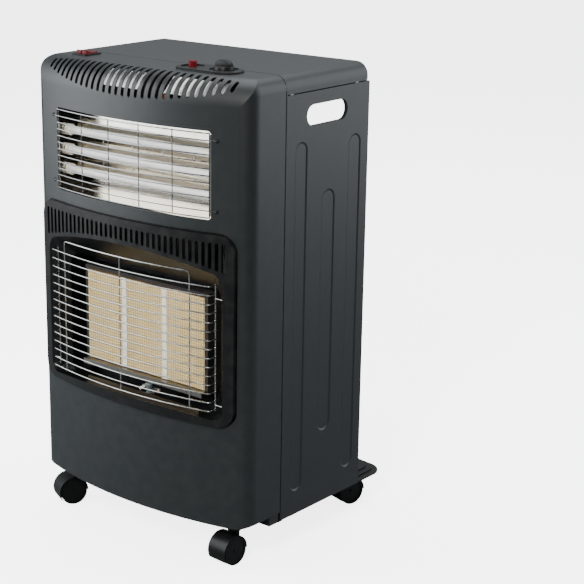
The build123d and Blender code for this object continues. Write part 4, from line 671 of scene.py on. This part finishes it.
class Wire:
    """Round wire drawn out straight and bent round formers, as on a bending bench; turns in radians."""

    def __init__(self, bm, start, heading, radius, sides=10):
        self.bm = bm
        self.at = start.copy()
        self.heading = heading.normalized()
        turn = self.heading.to_track_quat("Z", "Y").to_matrix().to_4x4()
        section = bmesh.ops.create_circle(bm, segments=sides, radius=radius * MM,
                                          matrix=Matrix.Translation(start) @ turn)
        self.ring = edges_of(section["verts"])
        self.first = self.ring

    def run(self, length):
        """Straight stretch."""
        made = bmesh.ops.extrude_edge_only(self.bm, edges=self.ring)["geom"]
        moved(self.bm, made, self.heading, length)
        ends = set(only(bmesh.types.BMVert, made))
        self.ring = [e for e in only(bmesh.types.BMEdge, made) if set(e.verts) <= ends]
        self.at += self.heading * length * MM
        return self

    def turn(self, centre, axis, angle, steps):
        """Stretch that turns round an axis."""
        made = bmesh.ops.spin(self.bm, geom=self.ring, cent=centre, axis=axis, angle=angle, steps=steps,
                              use_merge=False)
        self.ring = only(bmesh.types.BMEdge, made["geom_last"])
        rotation = Matrix.Rotation(angle, 3, axis)
        self.at = centre + rotation @ (self.at - centre)
        self.heading = rotation @ self.heading
        return self

    def bend(self, axis, angle, radius, steps=6):
        """Bend round a former that stands along an axis, right-handed."""
        return self.turn(self.at + axis.cross(self.heading) * radius * MM, axis, angle, steps)

    def close(self):
        """Closes both ends."""
        for ring in (self.first, self.ring):
            bmesh.ops.contextual_create(self.bm, geom=ring)


def bowed_wire(bm, radius, z, half, wire, hook=0.0, bend=0.0):
    """Wire that follows the bowed front; with a hook, both ends turn back into the heater."""
    bow = at(0, BOW_CENTRE_Y, z)
    angle = asin((half - bend) / (radius - bend))
    steps = max(BOWED_WIRE_STEPS_LEAST, int(half / BOWED_WIRE_STEP))
    if hook:
        start = at(-half, BOW_CENTRE_Y - (radius - bend) * cos(angle) + hook, z)
        bar = Wire(bm, start, -Y, wire).run(hook).bend(Z, pi / 2 - angle, bend)
        bar.turn(bow, Z, 2 * angle, steps).bend(Z, pi / 2 - angle, bend).run(hook)
    else:
        start = at(-radius * sin(angle), BOW_CENTRE_Y - radius * cos(angle), z)
        bar = Wire(bm, start, Vector((cos(angle), -sin(angle), 0)), wire).turn(bow, Z, 2 * angle, steps)
    bar.close()


def bow_depth(radius, x):
    """How far back a bow lies at a distance from the middle."""
    return BOW_CENTRE_Y - sqrt(radius ** 2 - x * x)


def straight_wire(bm, start, end, wire):
    """Wire from one point to another."""
    run = end - start
    Wire(bm, start, run, wire).run(run.length / MM).close()


# ---------------------------------------------------------------- guards


def element_guard_wires():
    """Grille over the element window: bars on uprights; two bars hook into the casing."""
    bm = bmesh.new()
    for i in range(ELEMENT_GUARD_BARS):
        z = ELEMENT_GUARD_LOW + ELEMENT_GUARD_PITCH * i
        if i in ELEMENT_TIED_BARS:
            bowed_wire(bm, ELEMENT_GUARD_RADIUS, z, ELEMENT_TIE_HALF, ELEMENT_WIRE_RADIUS,
                       ELEMENT_TIE_HOOK, ELEMENT_TIE_BEND)
        else:
            bowed_wire(bm, ELEMENT_GUARD_RADIUS, z, ELEMENT_GUARD_HALF, ELEMENT_WIRE_RADIUS)
    behind = ELEMENT_GUARD_RADIUS - 2 * ELEMENT_WIRE_RADIUS
    low = ELEMENT_GUARD_LOW - ELEMENT_UPRIGHT_OVERHANG
    high = ELEMENT_GUARD_HIGH + ELEMENT_UPRIGHT_OVERHANG
    for i in range(ELEMENT_GUARD_UPRIGHTS):
        x = ELEMENT_GUARD_HALF * (2 * i / (ELEMENT_GUARD_UPRIGHTS - 1) - 1)
        y = bow_depth(behind, x)
        straight_wire(bm, at(x, y, low), at(x, y, high), ELEMENT_WIRE_RADIUS)
    piece = finished("element_guard_wires", bm, "zinc_wire")
    piece.data.materials[0] = NODE_FINISHES["element_guard"]
    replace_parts(piece, "element_guard")


def guard_grommets():
    """Black grommets where the tied bars of the element guard enter the casing."""
    bm = bmesh.new()
    for side in (-1, 1):
        x = side * ELEMENT_TIE_HALF
        out_of_bow = Matrix.Rotation(side * asin(ELEMENT_TIE_HALF / BOW_RADIUS), 4, "Z")
        for i in ELEMENT_TIED_BARS:
            foot = at(x, bow_depth(BOW_RADIUS, x), ELEMENT_GUARD_LOW + ELEMENT_GUARD_PITCH * i)
            stand = Matrix.Translation(foot) @ out_of_bow @ TO_FRONT
            made = round_block(bm, GROMMET_RADII, GROMMET_HEIGHT, stand, segments=24)
            rounded(bm, sharp_edges(made, GROMMET_RIM_ANGLE), GROMMET_ROUNDING)
    finished("guard_grommets", bm, "black_plastic")


def window_strips():
    """Bright strips behind the left and right edge of the element window, against the casing."""
    bm = bmesh.new()
    (near, far), (front, back) = STRIP_X, STRIP_BEHIND_FRONT
    low, high = ELEMENT_GUARD_LOW + STRIP_END_GAP, ELEMENT_GUARD_HIGH - STRIP_END_GAP
    for side in (-1, 1):
        section = [(near, front), (far, front), (far, back), (near, back)]
        corners = [at(side * x, bow_depth(BOW_RADIUS - inside, x), low) for x, inside in section]
        prism(bm, corners, Z, high - low)
    finished("window_strips", bm, "polished_sheet")


def burner_guard_wires():
    """Grille in front of the burner: bars that turn back to upright legs, on a rounded frame."""
    bm = bmesh.new()
    wire = GUARD_WIRE_RADIUS
    for i in range(GUARD_BARS):
        bowed_wire(bm, GUARD_RADIUS, GUARD_LOW + GUARD_PITCH * i, GUARD_LEG_X, wire, GUARD_HOOK, GUARD_BEND)
    low, high = GUARD_LOW - GUARD_LEG_OVERHANG, GUARD_TOP + GUARD_LEG_OVERHANG
    leg_y = bow_depth(GUARD_RADIUS, GUARD_LEG_X + GUARD_CAD_WIRE_RADIUS) + GUARD_HOOK + wire
    for side in (-1, 1):
        x = side * GUARD_LEG_X
        straight_wire(bm, at(x, leg_y, low), at(x, leg_y, high), wire)
        for z in GUARD_STAY_HEIGHTS:
            straight_wire(bm, at(x, leg_y, z), at(side * GUARD_WALL_X, leg_y, z), wire)
    behind = GUARD_RADIUS - 2 * wire
    guard_frame(bm, behind, low)
    y = bow_depth(behind, 0)
    straight_wire(bm, at(0, y, low), at(0, y, GUARD_FRAME_TOP), wire)
    piece = finished("burner_guard_wires", bm, "zinc_wire")
    piece.data.materials[0] = NODE_FINISHES["burner_guard"]
    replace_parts(piece, "burner_guard")


def guard_frame(bm, radius, low):
    """One wire up the left, over the top along the bow and down the right."""
    corner, half = GUARD_FRAME_CORNER, GUARD_FRAME_HALF
    across = asin((half - corner) / radius)
    rise = GUARD_FRAME_TOP - low - corner
    wire = Wire(bm, at(-half, bow_depth(radius, half), low), Z, GUARD_WIRE_RADIUS).run(rise)
    wire.bend(Matrix.Rotation(-across, 3, "Z") @ Y, pi / 2, corner)
    wire.turn(at(0, BOW_CENTRE_Y, GUARD_FRAME_TOP), Z, 2 * across, GUARD_FRAME_STEPS)
    wire.bend(Matrix.Rotation(across, 3, "Z") @ Y, pi / 2, corner)
    wire.run(rise)
    wire.close()


# ---------------------------------------------------------------- element bank


def coils():
    """Coiled resistance wire inside each tube: one turn, doubled until it fills the tube."""
    bm = bmesh.new()
    radius = COIL_OUTER - COIL_WIRE_RADIUS
    pitch = 2 * TUBE_HALF / 2 ** COIL_DOUBLINGS
    z = TUBE_HEIGHTS[0]
    wire = Wire(bm, at(-TUBE_HALF, TUBE_Y - radius, z), Z, COIL_WIRE_RADIUS, COIL_WIRE_SIDES)
    bmesh.ops.spin(bm, geom=wire.ring, cent=at(0, TUBE_Y, z), axis=X, angle=-tau, steps=COIL_STEPS,
                   dvec=X * pitch * MM / COIL_STEPS, use_merge=False)
    for i in range(COIL_DOUBLINGS):
        copied(bm, everything(bm), X, pitch * 2 ** i)
    bmesh.ops.remove_doubles(bm, verts=bm.verts, dist=SAME_PLACE)
    bmesh.ops.holes_fill(bm, edges=[e for e in bm.edges if e.is_boundary], sides=COIL_WIRE_SIDES)
    one = everything(bm)
    for height in TUBE_HEIGHTS[1:]:
        copied(bm, one, Z, height - z)
    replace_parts(finished("heating_coil_wires", bm, "coil_wire", sharp=80), "heating_coils")


def end_cap_clips():
    """Bronze clips round the waist of each ceramic cap."""
    bm = bmesh.new()
    inner, outer = CLIP_RADII
    for z in TUBE_HEIGHTS:
        for side in (-1, 1):
            x0, x1 = sorted(side * x for x in CLIP_X)
            section = [(x0, inner), (x0, outer), (x1, outer), (x1, inner)]
            turned(bm, [at(x, TUBE_Y - r, z) for x, r in section], at(0, TUBE_Y, z), X)
    finished("end_cap_clips", bm, "brass")


def reflector_tabs():
    """Small folded tabs that hold the reflector's ridges."""
    bm = bmesh.new()
    for low, high in zip(TUBE_HEIGHTS, TUBE_HEIGHTS[1:]):
        for x in TAB_X:
            small_block(bm, at(x, TAB_Y, (low + high) / 2), TAB_SIZE, TAB_ROUNDING)
    finished("reflector_tabs", bm, "bare_steel")


# ---------------------------------------------------------------- controls


def rocker(name, node, body, x):
    """Rocker with a high dished top and rounded edges."""
    bm = bmesh.new()
    y, z = ROCKER_PIVOT
    far_half = [(-u, v) for u, v in reversed(ROCKER_HALF_OUTLINE)]
    outline = [(0, ROCKER_DISH), *ROCKER_HALF_OUTLINE, *far_half]
    prism(bm, [at(x - ROCKER_WIDTH / 2, y + u, z + v) for u, v in outline], X, ROCKER_WIDTH)
    rounded(bm, list(bm.edges), ROCKER_ROUNDING, segments=3)
    bmesh.ops.rotate(bm, verts=bm.verts, cent=at(x, y, z),
                     matrix=Matrix.Rotation(radians(ROCKER_TILT), 3, "X"))
    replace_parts(finished(name, bm, "red_plastic", body, 40), node)


def knob():
    """Gas knob: round skirt with a flat grip across it, the grip's top arched."""
    bm = bmesh.new()
    x, y = KNOB
    middle = Matrix.Translation(at(x, y, KNOB_BOTTOM + KNOB_SKIRT_HEIGHT / 2))
    drum = round_block(bm, (KNOB_RADIUS, KNOB_RADIUS - KNOB_TAPER), KNOB_SKIRT_HEIGHT, middle, segments=64)
    rounded(bm, end_edges(drum, Z), KNOB_SKIRT_ROUNDING, segments=3)
    skirt = set(bm.verts)

    def grip():
        """Vertices of the grip as it is so far."""
        return [v for v in bm.verts if v not in skirt]

    foot = at(x, y, KNOB_BOTTOM + KNOB_GRIP_FOOT)
    bmesh.ops.create_circle(bm, cap_ends=True, segments=72, radius=KNOB_GRIP_DISC * MM,
                            matrix=Matrix.Translation(foot + Y * KNOB_GRIP_WIDTH / 2 * MM) @ TO_FRONT)
    end = X * KNOB_GRIP_HALF * MM
    for place, way in ((foot, Z), (foot - end, X), (foot + end, -X)):
        cut = [*grip(), *edges_of(grip()), *faces_of(grip())]
        bmesh.ops.bisect_plane(bm, geom=cut, plane_co=place, plane_no=way, clear_inner=True)
    bmesh.ops.scale(bm, verts=grip(), vec=(1, 1, KNOB_GRIP_HEIGHT / KNOB_GRIP_DISC),
                    space=Matrix.Translation(-foot))
    pulled(bm, faces_of(grip()), -Y, KNOB_GRIP_WIDTH)
    rounded(bm, sharp_edges(grip(), KNOB_GRIP_CORNER_ANGLE), KNOB_GRIP_ROUNDING, segments=3)
    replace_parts(finished("gas_knob_cap", bm, "black_plastic", "gas_knob", 30), "gas_knob")


# ---------------------------------------------------------------- sheet


def vent_shade_baffles():
    """Folded black sheet inside each row of vents in the back plate, painted shade of the casing's inside:
    air passes above and below it.
    """
    bm = bmesh.new()
    outer, sheet = BAFFLE_HALF + BAFFLE_LIP, BAFFLE_SHEET
    right = [(BAFFLE_HALF, BAFFLE_BACK_Y), (BAFFLE_HALF, BAFFLE_SEAT_Y), (outer, BAFFLE_SEAT_Y),
             (outer, BAFFLE_SEAT_Y - sheet), (BAFFLE_HALF + sheet, BAFFLE_SEAT_Y - sheet),
             (BAFFLE_HALF + sheet, BAFFLE_BACK_Y - sheet)]
    hat = [*right, *((-u, y) for u, y in reversed(right))]
    low, high = VENT_LOW - BAFFLE_OVERLAP, VENT_HIGH + BAFFLE_OVERLAP
    for side in (-1, 1):
        prism(bm, [at(side * VENT_X + u, y, low) for u, y in hat], Z, high - low)
    # Painted shade: the sheets are black so that the vents stay dark like the shaded inside of the casing.
    finished("vent_shade_baffles", bm, "black_paint")


def panel_edges(side, name, body):
    """Folded front edge of a side panel, which closes the seam and is black as its painted shade, and the
    two tabs that meet the lid.
    """
    bm = bmesh.new()
    (x0, x1), (y0, y1) = FOLD_X, FOLD_Y
    fold = [(x0, y0), (x1, y0), (x1, y1), (x1 - FOLD_LIP, y1), (x1 - FOLD_LIP, y0 + FOLD_WEB),
            (x0, y0 + FOLD_WEB)]
    low, high = PANEL_LOW + FOLD_END_GAP, PANEL_HIGH - FOLD_END_GAP
    prism(bm, [at(side * x, y, low) for x, y in fold], Z, high - low)
    # Painted shade: the fold is black so that the seam looks dark.
    finished("panel_seam_shade_fold_" + name, bm, "black_paint", body)
    bm = bmesh.new()
    for y in PANEL_TABS_Y:
        middle = at(side * PANEL_TAB_X, y, PANEL_HIGH + PANEL_TAB_RISE)
        small_block(bm, middle, PANEL_TAB_SIZE, PANEL_TAB_ROUNDING)
    finished("panel_top_tabs_" + name, bm, "bare_steel", body)


# ---------------------------------------------------------------- fittings at the back


def hose_barb():
    """Barbed hose tail with its six-sided nut and the shank that passes through the back plate."""
    bm = bmesh.new()
    nut_end = BACK_FACE_Y + HOSE_NUT[1]
    end = nut_end + HOSE_LENGTH
    profile = [(HOSE_BORE, end), (HOSE_NOSE, end)]
    for drop in BARB_CRESTS_FROM_END:
        profile += [(BARB_CREST, end - drop), (BARB_ROOT, end - drop - BARB_STEP)]
    profile += [(BARB_ROOT, nut_end - HOSE_SINK), (HOSE_BORE, nut_end - HOSE_SINK)]
    turned(bm, [at(r, y, HOSE_Z) for r, y in profile], at(0, 0, HOSE_Z), Y)
    six_sided_nut(bm, at(0, BACK_FACE_Y, HOSE_Z), *HOSE_NUT)
    middle = Matrix.Translation(at(0, BACK_FACE_Y - SHANK_MIDDLE, HOSE_Z))
    round_block(bm, (SHANK_RADIUS, SHANK_RADIUS), SHANK_LENGTH, middle @ TO_FRONT, segments=32)
    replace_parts(finished("hose_tail_barbs", bm, "brass"), "hose_tail")


def six_sided_nut(bm, foot, radius, height):
    """Nut on the back plate, the rim of its outer face rounded."""
    middle = Matrix.Translation(foot + Y * height / 2 * MM)
    made = round_block(bm, (radius, radius), height, middle @ TO_BACK, segments=6)
    rounded(bm, end_edges(made, Y), NUT_ROUNDING)


def plate_screws():
    """Screws of the back plate: washer faces with six-sided heads."""
    bm = bmesh.new()
    for x in SCREW_X:
        for z in SCREW_Z:
            foot = at(x, BACK_FACE_Y, z)
            middle = Matrix.Translation(foot + Y * WASHER_HEIGHT / 2 * MM)
            round_block(bm, WASHER_RADII, WASHER_HEIGHT, middle @ TO_BACK, segments=24)
            six_sided_nut(bm, foot, *SCREW_NUT)
    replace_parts(finished("back_plate_screws", bm, "zinc_wire"), "casing_screws")


# ---------------------------------------------------------------- studio


def plain_floor():
    """Pale plain floor, paler to the eye than in the paint that mirrors it."""
    bm = bmesh.new()
    bmesh.ops.create_grid(bm, x_segments=1, y_segments=1, size=FLOOR_SIZE)
    mesh = bpy.data.meshes.new("floor")
    bm.to_mesh(mesh)
    bm.free()
    material, tree, place, shader = blank("pale_floor")
    pale = mixed(tree, drift_of(tree, place, 0.6), (0.93, 0.93, 0.94, 1), (0.95, 0.95, 0.96, 1))
    seen = add(tree, "LightPath").outputs["Is Camera Ray"]
    fill(tree, shader, {"Base Color": mixed(tree, seen, (0.14, 0.15, 0.16, 1), pale), "Roughness": 0.75,
                        "Emission Color": mixed(tree, seen, (0, 0, 0, 1), (1, 1, 1, 1)),
                        "Emission Strength": FLOOR_GLOW})
    mesh.materials.append(material)
    floor = placed("floor", mesh)


def softbox(name, where, target, size, watts, colour=COOL_LIGHT):
    """Rectangular studio lamp that looks at a point; places and sizes in metres."""
    lamp = bpy.data.lights.new(name, "AREA")
    lamp.shape = "RECTANGLE"
    lamp.size, lamp.size_y = size
    lamp.energy = watts
    lamp.color = colour
    holder = placed(name, lamp)
    holder.location = where
    holder.rotation_euler = (Vector(target) - Vector(where)).to_track_quat("-Z", "Y").to_euler()


def surroundings():
    """Pale room, which the paint mirrors dimly, and darkest behind the photographer."""
    world = bpy.data.worlds.new("pale_surroundings")
    world.use_nodes = True
    tree = world.node_tree
    way = add(tree, "TexCoord").outputs["Generated"]
    dark_side = add(tree, "VectorMath", {0: way, 1: DARK_SIDE}, operation="DOT_PRODUCT").outputs["Value"]
    shade = remap(tree, dark_side, *DARK_FROM_TO, *ROOM_MIRRORED)
    seen = add(tree, "LightPath").outputs["Is Camera Ray"]
    bright = maths(tree, "ADD", maths(tree, "MULTIPLY", shade, maths(tree, "SUBTRACT", 1.0, seen)),
                   maths(tree, "MULTIPLY", seen, ROOM_SEEN))
    fill(tree, tree.nodes["Background"], {"Color": (0.93, 0.97, 1.0, 1), "Strength": bright})
    bpy.context.scene.world = world


def studio():
    """Lamps and pale surroundings."""
    middle, upper = (0.0, 0.0, 0.40), (0.0, 0.0, 0.9)
    softbox("key_left", (-1.45, -1.15, 1.15), upper, size=(1.5, 2.0), watts=52.0)
    softbox("rear_right", (1.5, 1.6, 1.15), upper, size=(1.8, 2.1), watts=30.0)
    softbox("overhead", (-0.2, 0.9, 3.4), middle, size=(3.0, 3.0), watts=108.0)
    softbox("fill_camera", (1.2, -2.6, 2.3), middle, size=(0.7, 0.7), watts=150.0, colour=WARM_LIGHT)
    surroundings()


def photograph_camera():
    """Camera at the photograph's place and angle."""
    lens = bpy.data.cameras.new("photograph")
    lens.sensor_width = CAMERA_SENSOR
    lens.lens = CAMERA_LENS
    lens.shift_x = CAMERA_SHIFT_X
    lens.clip_start = CAMERA_NEAR
    camera = placed("photograph", lens)
    camera.location = at(*CAMERA_PLACE)
    camera.rotation_euler = (radians(90 - CAMERA_DOWN), 0, radians(CAMERA_TURN))
    bpy.context.scene.camera = camera


def build_pieces():
    """Every piece that the scene adds to the CAD nodes."""
    element_guard_wires()
    guard_grommets()
    window_strips()
    burner_guard_wires()
    coils()
    end_cap_clips()
    reflector_tabs()
    rocker("rocker_cap_left", "rocker_switch_left", "rocker_left", ROCKER_X[0])
    rocker("rocker_cap_right", "rocker_switch_right", "rocker_right", ROCKER_X[1])
    knob()
    vent_shade_baffles()
    panel_edges(-1, "left", "side_panel_left")
    panel_edges(1, "right", "side_panel_right")
    hose_barb()
    plate_screws()


dress_frame()
build_pieces()
plain_floor()
studio()
photograph_camera()
